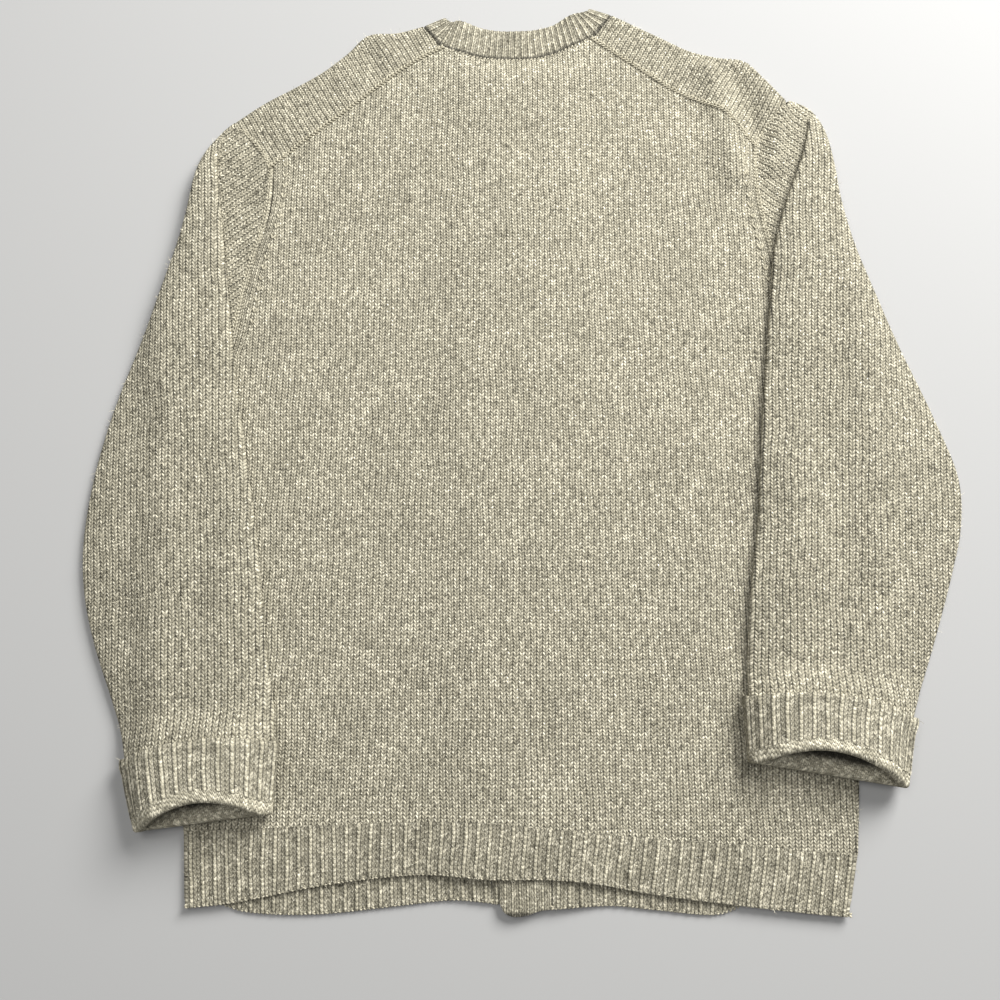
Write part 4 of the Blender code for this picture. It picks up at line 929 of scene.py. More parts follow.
def rib_places(start, end, pitch):
    """Places across ribs, the height share of each (1 on top of a rib), and u, whole on the tops."""
    count = max(1, round(abs(end - start) / pitch))
    places = np.linspace(start, end, PER_RIB * count + 1)
    turn = np.arange(PER_RIB * count + 1) / PER_RIB
    return places, (0.5 - 0.5 * np.cos(2 * np.pi * turn)) ** 2, (turn - 0.5) * pitch


def edge_round(heights, end=0.0):
    """Thickness share near a free edge, so that it looks rounded."""
    return 0.55 + 0.45 * np.sqrt(np.clip(np.abs(heights - end) / 0.06, 0, 1))


HEM_HEIGHTS = np.array([0.0, 0.015, 0.04, 0.08, *np.linspace(0.15, 1.0, 13)])
SEAM_TUCK = 0.0010          # how far an edge runs on under its neighbour
print("hem rib", HEM_RIB_PITCH, "wide,", len(HEM_HEIGHTS), "rows high")


def make_back_hem():
    ends = [side_x(HEM_SIDE_Y, side) - SIGN[side] * HALF for side in BOTH]
    xs, tops, across = rib_places(*ends, HEM_RIB_PITCH)
    share = (xs - xs[0]) / (xs[-1] - xs[0])
    rows = []
    for height in HEM_HEIGHTS:
        y = blend(edge_y(BACK_HEM, xs), edge_y(BACK_HEM, xs, "top_y"), height)
        left, right = side_x(y[0], "left") + HALF, side_x(y[-1], "right") - HALF
        rows.append(np.column_stack([blend(left, right, share), y]))
    plan = np.array(rows)
    plan[-1, :, 1] += SEAM_TUCK
    z = back_z(plan[..., 0], plan[..., 1])
    z[-1] -= 0.0001
    grid = rolled(plan, z, np.ones(len(plan)), -1, ["left", "right"], skip=2)
    pad = np.zeros(ROLL_STEPS + 1)
    relief = np.concatenate([pad, tops[2:-2], pad]) * RIB_RISE - 0.5 * RIB_RISE
    run = np.concatenate([pad + across[1], across[2:-2], pad + across[-2]])
    uv = np.dstack([np.broadcast_to(run, grid.shape[:2]), grid[..., 1]])
    edge = edge_round(HEM_HEIGHTS)[:, None]
    relief = relief * smoothstep((1 - HEM_HEIGHTS) / 0.12)[:, None]
    return piece("look_back_hem", [wall(grid, uv, (HALF + relief) * edge, (HALF + relief) * edge)], RIB)


back_hem = make_back_hem()


# %% Front hems
def make_front_hem(side):
    outer_x = side_x(HEM_SIDE_Y, side) - SIGN[side] * HALF
    xs, tops, across = rib_places(outer_x, CENTRE_X[side], HEM_RIB_PITCH)
    share = (xs - xs[0]) / (xs[-1] - xs[0])
    rows = []
    for height in HEM_HEIGHTS:
        y = blend(edge_y(FRONT_EDGE[side], xs), np.full(len(xs), FRONT_RIB_TOP), height)
        outer = side_x(y[0], side) - SIGN[side] * HALF
        rows.append(np.column_stack([blend(outer, CENTRE_X[side], share), y]))
    plan = pull_in(np.array(rows), ["right"])
    grid = rolled(plan, front_z(plan[..., 0], side), np.ones(len(plan)), 1, ["left"], skip=2)
    pad = np.zeros(ROLL_STEPS + 1)
    relief = np.concatenate([pad, tops[2:]]) * RIB_RISE - 0.5 * RIB_RISE
    run = np.concatenate([pad + across[1], across[2:]])
    uv = np.dstack([np.broadcast_to(run, grid.shape[:2]), grid[..., 1]])
    edge = edge_round(HEM_HEIGHTS)[:, None]
    up, down = (HALF + relief) * edge, HALF * edge
    if side == "right":
        up, down = down, up
    return piece(f"look_front_{side}_hem", [wall(grid, uv, up, down)], RIB)


front_hems = {side: make_front_hem(side) for side in BOTH}

# %% Button bands
BAND_TOP, BAND_SLOPE, BAND_RIBS = 0.6440, 0.0055, 6
BAND_SEAM_Z = {"left": 0.0018, "right": 0.0040}
BAND_Z = {"left": 0.0034, "right": 0.0057}
BAND_ABOVE, BAND_BELOW, BAND_RISE = 0.0006, 0.0008, 0.0007


def band_z(side, x):
    """Middle of a button band: it steps up from its seam, over the buttons or the other band."""
    share = smoothstep((CENTRE_X[side] - x) * SIGN[side] / BAND_SLOPE)
    return blend(BAND_SEAM_Z[side], BAND_Z[side], share)


def make_band(side):
    low, high = BAND_X[side][0] + EDGE_PULL, BAND_X[side][1] - EDGE_PULL
    xs, tops, across = rib_places(low, high, (high - low) / BAND_RIBS)
    heights = np.concatenate([[0, 0.002, 0.006, 0.012], np.linspace(0.02, 1, 60)])[:, None]
    ys = blend(edge_y(BAND_EDGE[side], xs)[None], BAND_TOP - EDGE_PULL, heights)
    grid = np.dstack([np.broadcast_to(row, ys.shape) for row in (xs, ys, band_z(side, xs))])
    uv = np.dstack([np.broadcast_to(across, ys.shape), ys])
    edge = edge_round(heights * 5)
    above = (BAND_ABOVE + BAND_RISE * tops) * edge
    return piece(f"look_band_{side}", [wall(grid, uv, above, BAND_BELOW * edge)], FINE_RIB)


bands = {side: make_band(side) for side in BOTH}

# %% [markdown]
# ## The fronts
# A front lies on the surface, comes over the shoulder in a soft fold and ends at the shoulder seam
# on the back. So each front is one grid: its floor, the rows round the fold, and the strip behind
# it. Knit columns run up the front and on across the fold, so on the strip they cross the fold at
# a right angle: v goes on growing past it, and u is counted along it.


# %% Knit coordinates of a front
FRONT_COLUMNS, FLOOR_ROWS, STRIP_ROWS, FOLD_STEPS = 57, 120, 15, 9
FOLD_REACH = 0.0050         # how far the shoulder fold runs on past the armhole


def stitch_plan(floor, strip):
    """Flat on the floor, and along and across the shoulder fold on the strip past it."""
    last = floor[-1, :, :2]
    along = last[-1] - last[0]
    along = along / np.linalg.norm(along) * np.sign(along[0])
    path = np.zeros(len(last))
    before = floor[-1]
    beyond = []
    for row in strip:
        path = path + np.linalg.norm(row - before, axis=1)
        before = row
        beyond.append(np.column_stack([row[:, :2] @ along, path]))
    return np.concatenate([floor[..., :2], beyond])


# %% Make the fronts
def front_lines(side):
    """The outer and centre edges on the floor, then the fold, the way out of it and the seam."""
    arm, shoulder = ARM[side], SHOULDER[side]
    neck = line_of(NECK_LEFT_FRONT[2:] if side == "left" else NECK_RIGHT_FRONT[4::-1], "seam")
    fold, out = fold_frame(shoulder)
    outer = np.concatenate([side_line(side, FRONT_RIB_TOP, arm[0].front_y, SIDE_ROWS + 1)[:-1],
                            line_of(arm, "front")])
    straight = len(outer) - len(neck)
    ys = np.linspace(FRONT_RIB_TOP, neck[0, 1], straight, endpoint=False)
    centre = np.concatenate([np.column_stack([np.full(straight, CENTRE_X[side]), ys]), neck])
    outer[-1], centre[-1] = fold[0], fold[-1]
    fold[0] += (fold[0] - fold[1]) / np.linalg.norm(fold[0] - fold[1]) * FOLD_REACH
    seam = line_of(shoulder, "seam")
    edges = [climbing(line, FLOOR_ROWS) for line in (outer, centre)]
    return edges + [finer(line, FRONT_COLUMNS) for line in (fold, out, seam)]


def make_front(side):
    outer, centre, fold, out, seam = front_lines(side)
    shares = np.linspace(0, 1, FRONT_COLUMNS)
    wrap_neck = line_of(NECK_BACK, "seam")[:: -SIGN[side]]
    back_of = np.linspace(0, 2, STRIP_ROWS)
    ease = 1 - smoothstep(back_of)[:, None]
    wrap_arm = spline(line_of(ARM[side], "back")[::-1], back_of)
    wrap_arm += (fold[0] - wrap_arm[0]) * ease
    wrap_neck = spline(wrap_neck, back_of)
    wrap_neck += (fold[-1] - wrap_neck[0]) * ease
    bottom = blend(outer[0], centre[0], shares[:, None])
    floor = pull_in(coons(bottom, fold, outer, centre, shares, late=3), ["right", "right"])
    floor_z = front_z(floor[..., 0], side)
    wrap = pull_in(coons(fold, seam, wrap_arm, wrap_neck, shares), ["top", "right", "right"])
    turned = turn_rows(floor[-1], out, floor_z[-1], np.full(len(out), BACK_Z), FOLD_STEPS)
    grid = rolled(floor, floor_z, roll_at(floor[:, 0, 1]), 1, ["left"])
    extra = grid.shape[1] - FRONT_COLUMNS

    def widened(row):
        ends = [blend(row[0], row[1], k / (extra + 1) * 0.3) for k in range(extra + 1)]
        return np.concatenate([ends, row[1:]])

    lift = folds(wrap[..., 0], wrap[..., 1], BODY_FOLDS)
    lift *= smoothstep(np.linspace(0, 3, STRIP_ROWS))[:, None]
    behind = np.dstack([wrap, BACK_Z + lift])
    grid[-1] = widened(np.column_stack([floor[-1], floor_z[-1]]))
    more = np.array([widened(row) for row in [*turned, *behind]])
    uv = stitch_plan(grid, more)
    grid = np.concatenate([grid, more])
    outside = 0 if facing_up(grid, len(grid) - 4, FRONT_COLUMNS // 2) else 1
    cloth = wall(grid, uv, HALF, HALF, outside=outside)
    return piece(f"look_front_{side}", [cloth], [SHADED_FRONT_FACE, KNIT[1]])


fronts = {side: make_front(side) for side in BOTH}

# %% [markdown]
# ## The neckband
# One ribbed strip runs round the neck. Its back half lies above the back panel and its ends lie
# beyond the fronts, a layer lower, so it is one strip that folds over at each shoulder.


# %% Stretches of the neckband
NECK_BELOW, NECK_ABOVE, NECK_RISE = 0.0013, 0.0010, 0.0009
NECK_OVERLAP_Z, OVERLAP_FROM, OVERLAP_SLOPE = 0.0040, 0.021, 0.025
NECK_BACK_LENGTH, NECK_WIDTH, NECK_FRONT_ROWS = 0.155, 0.025, 90
NECK_HEIGHTS = np.array([0.0, 0.06, 0.14, 0.25, 0.4, 0.55, 0.7, 0.82, 0.9, 0.95, 0.98, 1.0])


def neck_lines(table):
    """Free edge and seam edge of a neckband table: rows of two plan places."""
    return np.stack([line_of(table, "free"), line_of(table, "seam")], axis=1)


def neck_stretch(lines, count, height):
    """A stretch of neckband as rows from its seam to its free edge."""
    places = np.linspace(0, len(lines) - 1, count)
    free, seam = spline(lines[:, 0], places), spline(lines[:, 1], places)
    plan = np.stack([blend(seam, free, share) for share in NECK_HEIGHTS], axis=1)
    plan = pull_in(plan, ["left"])
    return np.dstack([plan, np.broadcast_to(height(plan[..., 0], plan[..., 1]), plan.shape[:2])])


def left_front_z(x, _):
    return np.full(np.shape(x), NECK_BELOW)


def neck_back_z(x, y):
    return BACK_Z - neck_sag(x, y)


def right_front_z(x, _):
    """The right end of the neckband climbs over the left one."""
    return blend(NECK_OVERLAP_Z, NECK_BELOW, smoothstep((x - OVERLAP_FROM) / OVERLAP_SLOPE))


# %% Make the neckband
def make_neckband():
    back_count = PER_RIB * round(NECK_BACK_LENGTH / NECK_RIB_PITCH) + 1
    left, upper, right = [neck_lines(t) for t in (NECK_LEFT_FRONT, NECK_BACK, NECK_RIGHT_FRONT)]
    reach = (BACK_Z - NECK_BELOW) / 2 + HALF
    outs = []
    # Each fold is drawn in by its own reach, on the layer below and on the layer above.
    for fold, over, further in ((left[-1], upper[0], left[-2]), (right[0], upper[-1], right[1])):
        across = fold[0] - fold[1]
        out = np.array([-across[1], across[0]]) / np.linalg.norm(across)
        out *= np.sign(out @ (fold[1] - further[1]))
        fold -= out * reach
        over -= out * reach
        outs.append(out)
    first = neck_stretch(left, NECK_FRONT_ROWS, left_front_z)
    middle = neck_stretch(upper, back_count, neck_back_z)
    last = neck_stretch(right, NECK_FRONT_ROWS, right_front_z)
    turns = [turn_rows(row[:, :2], out, NECK_BELOW, BACK_Z, FOLD_STEPS)
             for row, out in ((middle[0], outs[0]), (middle[-1], outs[1]))]
    grid = np.concatenate([first, np.array(turns[0]), middle, np.array(turns[1])[::-1], last])
    run = np.concatenate([[0], np.cumsum(np.linalg.norm(np.diff(grid[:, 5], axis=0), axis=1))])
    start = len(first) + len(turns[0])
    run -= run[start] + 0.5 * NECK_RIB_PITCH
    stretch = (back_count - 1) / PER_RIB * NECK_RIB_PITCH / (run[start + back_count - 1] - run[start])
    run *= stretch
    tops = 0.5 + 0.5 * np.cos(2 * np.pi * run / NECK_RIB_PITCH)
    rise = np.sqrt(np.clip(NECK_HEIGHTS / 0.1, 0, 1))
    thin = np.array([1.0 - 0.45 * max(0, (h - 0.9) / 0.1) ** 2 for h in NECK_HEIGHTS])
    above = (NECK_ABOVE - 0.0002 + NECK_RISE * tops[:, None] * rise) * thin
    below = np.broadcast_to(NECK_BELOW * thin, above.shape)
    uv = np.dstack([np.broadcast_to(run[:, None], above.shape),
                    np.broadcast_to(NECK_HEIGHTS * NECK_WIDTH, above.shape)])
    if not facing_up(grid, start + back_count // 2, 5):
        above, below = below, above
    return piece("look_neckband", [wall(grid, uv, above, below)], FINE_RIB)


neckband = make_neckband()

# %% [markdown]
# ## The sleeves
# A sleeve is a tube, folded flat, that lies on the back. Each row of its table is one closed loop:
# the layer below, a fold, the layer above, a fold. At its mouth the tube turns back on itself and
# the ribbed cuff lies on top of it. Its head is the part between the two armhole seams, and it
# keeps the direction it was sewn in, so its stitches run at a slant to the sleeve's.

# %% The loops of a sleeve
EDGE_HOLLOW, MOUTH_HOLLOW, MOUTH_LIFT = 0.0006, 0.0020, 0.0060
THIN_END, THIN_PLACES, SHOULDER_SINK, SINK_PLACES = 0.3, 2.0, 0.0029, 2.2
CUFF_LIFT, CUFF_LIFT_SLOPE, TURNED_JERSEY, ARCH_LENGTH = LAYER, 0.028, 0.008, 0.110
LOOP_UNDER, LOOP_OVER, LOOP_TURN = 22, 89, 6
CUFF_RIBS = {"left": 11, "right": 13}
CUFF_ROWS = 14
WALE_TILT = {"left": 4.0, "right": -4.0}     # degrees from the plan's Y, anticlockwise
HEAD_SLANT = {"left": 38, "right": 142}      # degrees from the plan's X, of the head's wales
THIN_FOLD = 0.75            # thickness share on the inner side of a tight fold
TURN_STEPS = 8


class Sleeve:
    """The folded tube of one sleeve, in the middle of its cloth, read at places along its table."""

    def __init__(self, side):
        self.side = side
        self.table = np.array(SLEEVE[side])
        middles = (self.table[:, 0:2] + self.table[:, 2:4]) / 2
        self.end = middles[-1]
        self.step = np.linalg.norm(middles[-1] - middles[-2])
        self.mouth = len(self.table) - 1 - (TURN + HALF) / self.step
        turned = CUFF_HEIGHT[side] - TURNED_JERSEY
        self.cuff_low = self.mouth - TURNED_JERSEY / self.step
        self.cuff_high = self.cuff_low - turned / self.step

    def thickness(self, places):
        """Half the cloth's thickness: it thins out where the tube starts inside the sleeve head."""
        return HALF * blend(THIN_END, 1.0, smoothstep(np.asarray(places) / THIN_PLACES))

    def loops(self, places):
        """One closed loop for each place: the layer below, a fold, the layer above, a fold."""
        rows = spline(self.table, places)
        outer, inner, hollow = rows[:, 0:2], rows[:, 2:4], rows[:, 4]
        width = np.linalg.norm(inner - outer, axis=1)
        across = (inner - outer) / width[:, None]
        middle = (outer + inner) / 2
        along = np.gradient(middle, axis=0)
        along /= np.linalg.norm(along, axis=1, keepdims=True)
        to_mouth = np.linalg.norm(middle - self.end, axis=1)
        cuffed = 1 - smoothstep((to_mouth - CUFF_HEIGHT[self.side] - 0.004) / CUFF_LIFT_SLOPE)
        hollow = hollow + MOUTH_LIFT * (1 - smoothstep(to_mouth / 0.09))
        arch = MOUTH_ARCH[self.side] * np.clip(1 - to_mouth / ARCH_LENGTH, 0, 1) ** 1.3
        half = self.thickness(places)
        radius = half * (1 + (EDGE_HOLLOW + MOUTH_HOLLOW * cuffed) / JERSEY)
        sink = SHOULDER_SINK * (1 - smoothstep(np.asarray(places) / SINK_PLACES))
        angles = np.pi * np.arange(1, LOOP_TURN + 1) / (LOOP_TURN + 1)
        loops = []
        for k in range(len(rows)):
            inset = half[k] + radius[k]
            low_run = np.linspace(inset, width[k] - inset, LOOP_UNDER)
            high_run = np.linspace(width[k] - inset, inset, LOOP_OVER)
            share = np.linspace(1, -1, LOOP_OVER)
            run = np.concatenate([
                low_run,
                low_run[-1] + radius[k] * np.sin(angles),
                high_run,
                high_run[-1] - radius[k] * np.sin(angles),
            ])
            rise = np.concatenate([
                np.zeros(LOOP_UNDER),
                radius[k] * (1 - np.cos(angles)),
                2 * radius[k] + hollow[k] * (1 - share**4),
                radius[k] * (1 + np.cos(angles)),
            ])
            lift = np.zeros(len(run))
            lift[LOOP_UNDER + LOOP_TURN : -LOOP_TURN] = arch[k] * (1 - share**2)
            ground = np.clip(run, inset, width[k] - inset)[:, None]
            spot = outer[k] + across[k] * ground
            base = support(spot[:, 0], spot[:, 1], self.side) + CUFF_LIFT * cuffed[k] - sink[k]
            place = outer[k] + across[k] * run[:, None] - along[k] * lift[:, None]
            crown = np.clip(rise / (2 * radius[k]) - 0.5, 0, 0.5) * 2
            rise = rise + crown * folds(place[:, 0], place[:, 1], SLEEVE_FOLDS)
            loops.append(np.column_stack([place, base + half[k] + rise]))
        return np.array(loops)

    def wrapped(self, place):
        """The loop of a second layer of cloth, turned up round the sleeve at a place."""
        near = self.loops([place - 0.02, place, place + 0.02])
        return near[1] + outward(near)[1] * LAYER


# %% Round a sleeve
def points_out(loops, normal):
    """Whether these normals of loops point out of the tube."""
    return np.sum(normal * (loops - loops.mean(axis=1, keepdims=True)), axis=2).mean() > 0


def outward(loops):
    """Normals of loops that point out of the tube."""
    normal = normals_of(loops, True)
    return normal * (1 if points_out(loops, normal) else -1)


def loop_uv(loops, side):
    """Knit coordinates round a sleeve: the plan, turned by the wales' tilt, unrolled past its folds."""
    tilt = math.radians(WALE_TILT[side])
    wale = np.array([-math.sin(tilt), math.cos(tilt)])
    first, last = LOOP_UNDER + LOOP_TURN, LOOP_UNDER + LOOP_TURN + LOOP_OVER - 1
    ring = np.concatenate([loops, loops[:, :1]], axis=1)
    run = np.concatenate([np.zeros((len(loops), 1)),
                          np.cumsum(np.linalg.norm(np.diff(ring, axis=1), axis=2), axis=1)], axis=1)
    plan = ring[..., :2] @ np.array([[wale[1], wale[0]], [-wale[0], wale[1]]])
    sign = np.sign(plan[:, last, 0] - plan[:, first, 0]).mean()
    uv = plan.copy()
    for part, edge in ((slice(0, first), first), (slice(last + 1, None), last)):
        uv[:, part, 0] = plan[:, edge : edge + 1, 0] + sign * (run[:, part] - run[:, edge : edge + 1])
        uv[:, part, 1] = plan[:, edge : edge + 1, 1]
    return uv


# %% Make the sleeve heads
HEAD_ROWS, HEAD_UNDER, HEAD_OVER = 75, 12, 20
FIRST_OVER = HEAD_UNDER + TURN_STEPS - 1        # the first column past the fold


def sleeve_head(side):
    """The sleeve's top, folded flat between the two armhole seams."""
    lines = finer(ARM[side], HEAD_ROWS)
    back_line, front_line, outer_line = lines[:, 0:2], lines[:, 2:4], lines[:, 4:6]
    rows = []
    for back_point, front_point, outer in zip(back_line, front_line, outer_line):
        out = outer - (front_point + back_point) / 2
        out /= np.linalg.norm(out)
        turn = outer - out * (TURN + HALF)
        under, over = np.linspace(0, 1, HEAD_UNDER), np.linspace(0, 1, HEAD_OVER)
        loop = [(*blend(front_point, turn, share), FRONT_Z) for share in under]
        for step in range(1, TURN_STEPS):
            angle = math.pi * step / TURN_STEPS
            place = turn + out * TURN * math.sin(angle)
            loop.append((*place, FRONT_Z + TURN * (1 - math.cos(angle))))
        loop += [(*blend(turn, back_point, share), BACK_Z) for share in over]
        rows.append(loop)
    grid = pull_in(np.array(rows), ["left", "right"])
    over = grid[:, FIRST_OVER:]
    over[..., 2] += folds(over[..., 0], over[..., 1], HEAD_FOLDS + BODY_FOLDS)
    slant = math.radians(HEAD_SLANT[side])
    wale = np.array([math.cos(slant), math.sin(slant)])
    uv = np.dstack([grid[..., 0] * wale[1] - grid[..., 1] * wale[0], grid[..., :2] @ wale])
    inside = np.full(grid.shape[:2], HALF)
    inside[:, HEAD_UNDER - 2 : FIRST_OVER + 2] *= THIN_FOLD
    inward = facing_up(grid, len(grid) // 2, 0)
    faces = (inside, HALF) if inward else (HALF, inside)
    return wall(grid, uv, *faces, outside=int(inward))


# %% Make the sleeves
ARM_ROWS, UNDER_CUFF_ROWS, TURNED_ROWS = 120, 12, 5


def make_sleeve(side):
    sleeve = Sleeve(side)
    upper = np.linspace(0, sleeve.cuff_high, ARM_ROWS, endpoint=False)
    under_cuff = np.linspace(sleeve.cuff_high, sleeve.cuff_low, UNDER_CUFF_ROWS)
    places = np.concatenate([upper, under_cuff, [sleeve.mouth - 0.1, sleeve.mouth]])
    rows = sleeve.loops(places)
    normal = outward(rows)
    along = rows[-1].mean(axis=0) - rows[-2].mean(axis=0)
    along[2] = 0
    along /= np.linalg.norm(along)
    turned = []
    for step in range(1, TURN_STEPS):
        angle = math.pi * step / TURN_STEPS
        out = normal[-1] * (1 - math.cos(angle)) + along * math.sin(angle)
        turned.append(rows[-1] + out * TURN)
    for run in np.linspace(0, TURNED_JERSEY + SEAM_TUCK, TURNED_ROWS):
        turned.append(sleeve.wrapped(sleeve.mouth - run / sleeve.step))
    grid = np.concatenate([rows, np.array(turned)])
    half = np.concatenate([sleeve.thickness(places), np.full(len(turned), HALF)])
    half = np.repeat(half[:, None], grid.shape[1], axis=1)
    outside = half.copy()
    outside[len(rows) - 1 : len(rows) + TURN_STEPS] *= THIN_FOLD
    uv = loop_uv(grid, side)
    turn = len(rows)
    steps = np.linalg.norm(np.diff(grid[turn - 1 :], axis=0), axis=2).mean(axis=1).cumsum()
    uv[turn:, :, 1] = uv[turn - 1, :, 1] - steps[:, None]
    lip = uv[turn - 1, 2:LOOP_UNDER]
    edge = uv[turn - 1, LOOP_UNDER + LOOP_TURN, 0]
    slope, place = np.polyfit(lip[:, 0], lip[:, 1], 1)
    mouth = (float(edge), float(np.sign(lip[0, 0] - edge)), float(slope), float(place))
    print("mouth", side, mouth, "lip within", abs(lip @ (-slope, 1) - place).max())
    return sleeve, tube(grid, uv, outside, half, cap_from=8), mouth


def tube(grid, uv, outside, inside, cap_from=None):
    """A closed wall whose loops run round a tube."""
    if not points_out(grid[:4], normals_of(grid[:4], True)):
        uv = uv[:, ::-1]
        grid, outside, inside = (
            np.roll(part[:, ::-1], 1, axis=1) for part in (grid, outside, inside))
    return wall(grid, uv, outside, inside, closed=True, cap_from=cap_from)


# %% Make the cuffs
CUFF_RISE, CUFF_SINK = 0.0011, 0.0003
FREE_EDGE = 1.2, 1.4, 1.35, 0.9         # thickness shares of the cuff's last rows: a soft bead


def make_cuff(side, sleeve):
    over = slice(LOOP_UNDER + LOOP_TURN, LOOP_UNDER + LOOP_TURN + LOOP_OVER)
    places = np.linspace(sleeve.cuff_low, sleeve.cuff_high, CUFF_ROWS)
    grid = np.array([sleeve.wrapped(place) for place in places])
    skin = grid + outward(grid) * HALF
    ring = np.concatenate([skin, skin[:, :1]], axis=1)
    run = np.cumsum(np.linalg.norm(np.diff(ring, axis=1), axis=2), axis=1)
    run = np.concatenate([np.zeros((len(run), 1)), run], axis=1)
    first, last = run[:, over.start, None], run[:, over.stop - 1, None]
    turn = (run - first) / (last - first) * CUFF_RIBS[side]
    relief = CUFF_RISE * (0.5 - 0.5 * np.cos(2 * np.pi * turn[:, :-1])) ** 2 - CUFF_SINK
    heights = np.linspace(0, CUFF_HEIGHT[side] - TURNED_JERSEY, CUFF_ROWS)
    uv = np.dstack([(turn - 0.5) * CUFF_RIB_PITCH, np.broadcast_to(heights[:, None], turn.shape)])
    edge = np.ones(CUFF_ROWS)
    edge[-len(FREE_EDGE):] = FREE_EDGE
    above = (HALF + relief) * edge[:, None]
    below = np.broadcast_to(HALF * np.minimum(edge, 0.95)[:, None], above.shape)
    return piece(f"look_cuff_{side}", [tube(grid, uv, above, below)], CUFF_RIB)


sleeves, cuffs = {}, {}
for side in BOTH:
    sleeve, tube_wall, mouth = make_sleeve(side)
    # The inside of a sleeve is the wrong side at a lighter tone: painted light, so that the mouth's
    # lower lip, which the upper layer shades from the lamp, looks lit. The turned-up jersey takes the
    # same tone. Deeper in, mouth paints shade.
    inside = wool(f"sleeve_inside_{side}", purl_stitch, SLEEVE_WALE, SLEEVE_COURSE, 0.60, mouth=mouth)
    sleeves[side] = piece(f"look_sleeve_{side}", [tube_wall, sleeve_head(side)], [SLEEVE_FACE, inside])
    cuffs[side] = make_cuff(side, sleeve)

# %% [markdown]
# ## Linked seams, marks and fuzz
# The panels are joined by linking, which shows as a fine chain along each seam. Every link is the
# same small V of yarn, so Geometry Nodes sets them along a line, at an even spacing. The same
# tree sets the widely spaced marks inside the armholes. Wool also has a halo of loose fibres. A
# second tree scatters short bent fibres over the outside of each piece and tilts them at random.

# %% A helper for node trees
class Tree:
    """A Geometry Nodes tree built from a script, with named inputs."""

    def __init__(self, name, inputs):
        self.tree = bpy.data.node_groups.new(name, "GeometryNodeTree")
        self.tree.interface.new_socket("Geometry", in_out="INPUT", socket_type="NodeSocketGeometry")
        self.sockets = {}
        for label, kind in inputs:
            made = self.tree.interface.new_socket(
                label, in_out="INPUT", socket_type="NodeSocket" + kind)
            self.sockets[label] = made.identifier
        self.tree.interface.new_socket("Geometry", in_out="OUTPUT", socket_type="NodeSocketGeometry")
        self.start = self.tree.nodes.new("NodeGroupInput")
        self.end = self.tree.nodes.new("NodeGroupOutput")

    def given(self, label):
        return self.start.outputs[label]

    def node(self, kind, inputs=(), **settings):
        made = self.tree.nodes.new(kind)
        for key, value in settings.items():
            setattr(made, key, value)
        for key, value in inputs:
            if isinstance(value, bpy.types.NodeSocket):
                self.tree.links.new(value, made.inputs[key])
            else:
                made.inputs[key].default_value = value
        return made

    def finish(self, geometry, material):
        real = self.node("GeometryNodeRealizeInstances", [("Geometry", geometry)])
        painted = self.node("GeometryNodeSetMaterial", [
            ("Geometry", real.outputs["Geometry"]), ("Material", material)])
        self.tree.links.new(painted.outputs["Geometry"], self.end.inputs["Geometry"])

    def made_on(self, thing, name, values):
        """Runs the tree on an object and keeps the result as a plain mesh object of its own."""
        modifier = thing.modifiers.new(name, "NODES")
        modifier.node_group = self.tree
        for label, value in values.items():
            modifier[self.sockets[label]] = value
        graph = bpy.context.evaluated_depsgraph_get()
        mesh = bpy.data.meshes.new_from_object(thing.evaluated_get(graph))
        thing.modifiers.remove(modifier)
        mesh.name = name
        print(f"{name}: {len(mesh.polygons)} faces")
        return linked(name, mesh)


# %% The chain tree
def chain_tree():
    net = Tree("chain", [("Link", "Object"), ("Spacing", "Float"), ("Material", "Material")])
    curve = net.node("GeometryNodeMeshToCurve", [("Mesh", net.given("Geometry"))])
    points = net.node("GeometryNodeCurveToPoints", [
        ("Curve", curve.outputs["Curve"]), ("Length", net.given("Spacing"))], mode="LENGTH")
    link = net.node("GeometryNodeObjectInfo", [("Object", net.given("Link"))])
    placed = net.node("GeometryNodeInstanceOnPoints", [
        ("Points", points.outputs["Points"]), ("Instance", link.outputs["Geometry"]),
        ("Rotation", points.outputs["Rotation"])])
    net.finish(placed.outputs["Instances"], net.given("Material"))
    return net


# %% The links of yarn
def blob(points, faces, centre, axis, length, width):
    """Adds one short fat piece of yarn to a list of points and faces."""
    axis = np.array(axis, float) / np.linalg.norm(axis)
    side = np.cross(axis, (0.3, 0.2, 1.0))
    side /= np.linalg.norm(side)
    other = np.cross(axis, side)
    base = len(points)
    rings, around = 5, 6
    for i in range(rings):
        turn = math.pi * (i + 0.35) / (rings - 0.3)
        for j in range(around):
            angle = 2 * math.pi * j / around
            out = math.sin(turn) * width / 2
            point = centre - axis * math.cos(turn) * length / 2 + (
                side * math.cos(angle) + other * math.sin(angle)) * out
            points.append(tuple(point))
    for i in range(rings - 1):
        for j in range(around):
            k = (j + 1) % around
            faces.append((base + i * around + j, base + i * around + k,
                          base + (i + 1) * around + k, base + (i + 1) * around + j))
    faces.append(tuple(base + j for j in reversed(range(around))))
    faces.append(tuple(base + (rings - 1) * around + j for j in range(around)))


def link_shape(name, spread, length, width):
    """A V of two legs. A point's own Z runs along the curve it is set on."""
    points, faces = [], []
    for sign in (-1, 1):
        centre = np.array([sign * spread * 0.5, 0.0, 0.0])
        blob(points, faces, centre, (sign * spread, 0.0, length * 0.8), length, width)
    mesh = mesh_of(name, points, [], faces)
    mesh.shade_smooth()
    return linked(name, mesh)


# %% Lines and yarn for the chains
def line_object(points):
    edges = [(i, i + 1) for i in range(len(points) - 1)]
    return linked("line", mesh_of("line", (np.asarray(points) - (*ORIGIN, 0.0)).tolist(), edges, []))


def on_back(plan, rise=HALF):
    plan = np.asarray(plan)
    return np.column_stack([plan, back_z(plan[:, 0], plan[:, 1]) + rise])


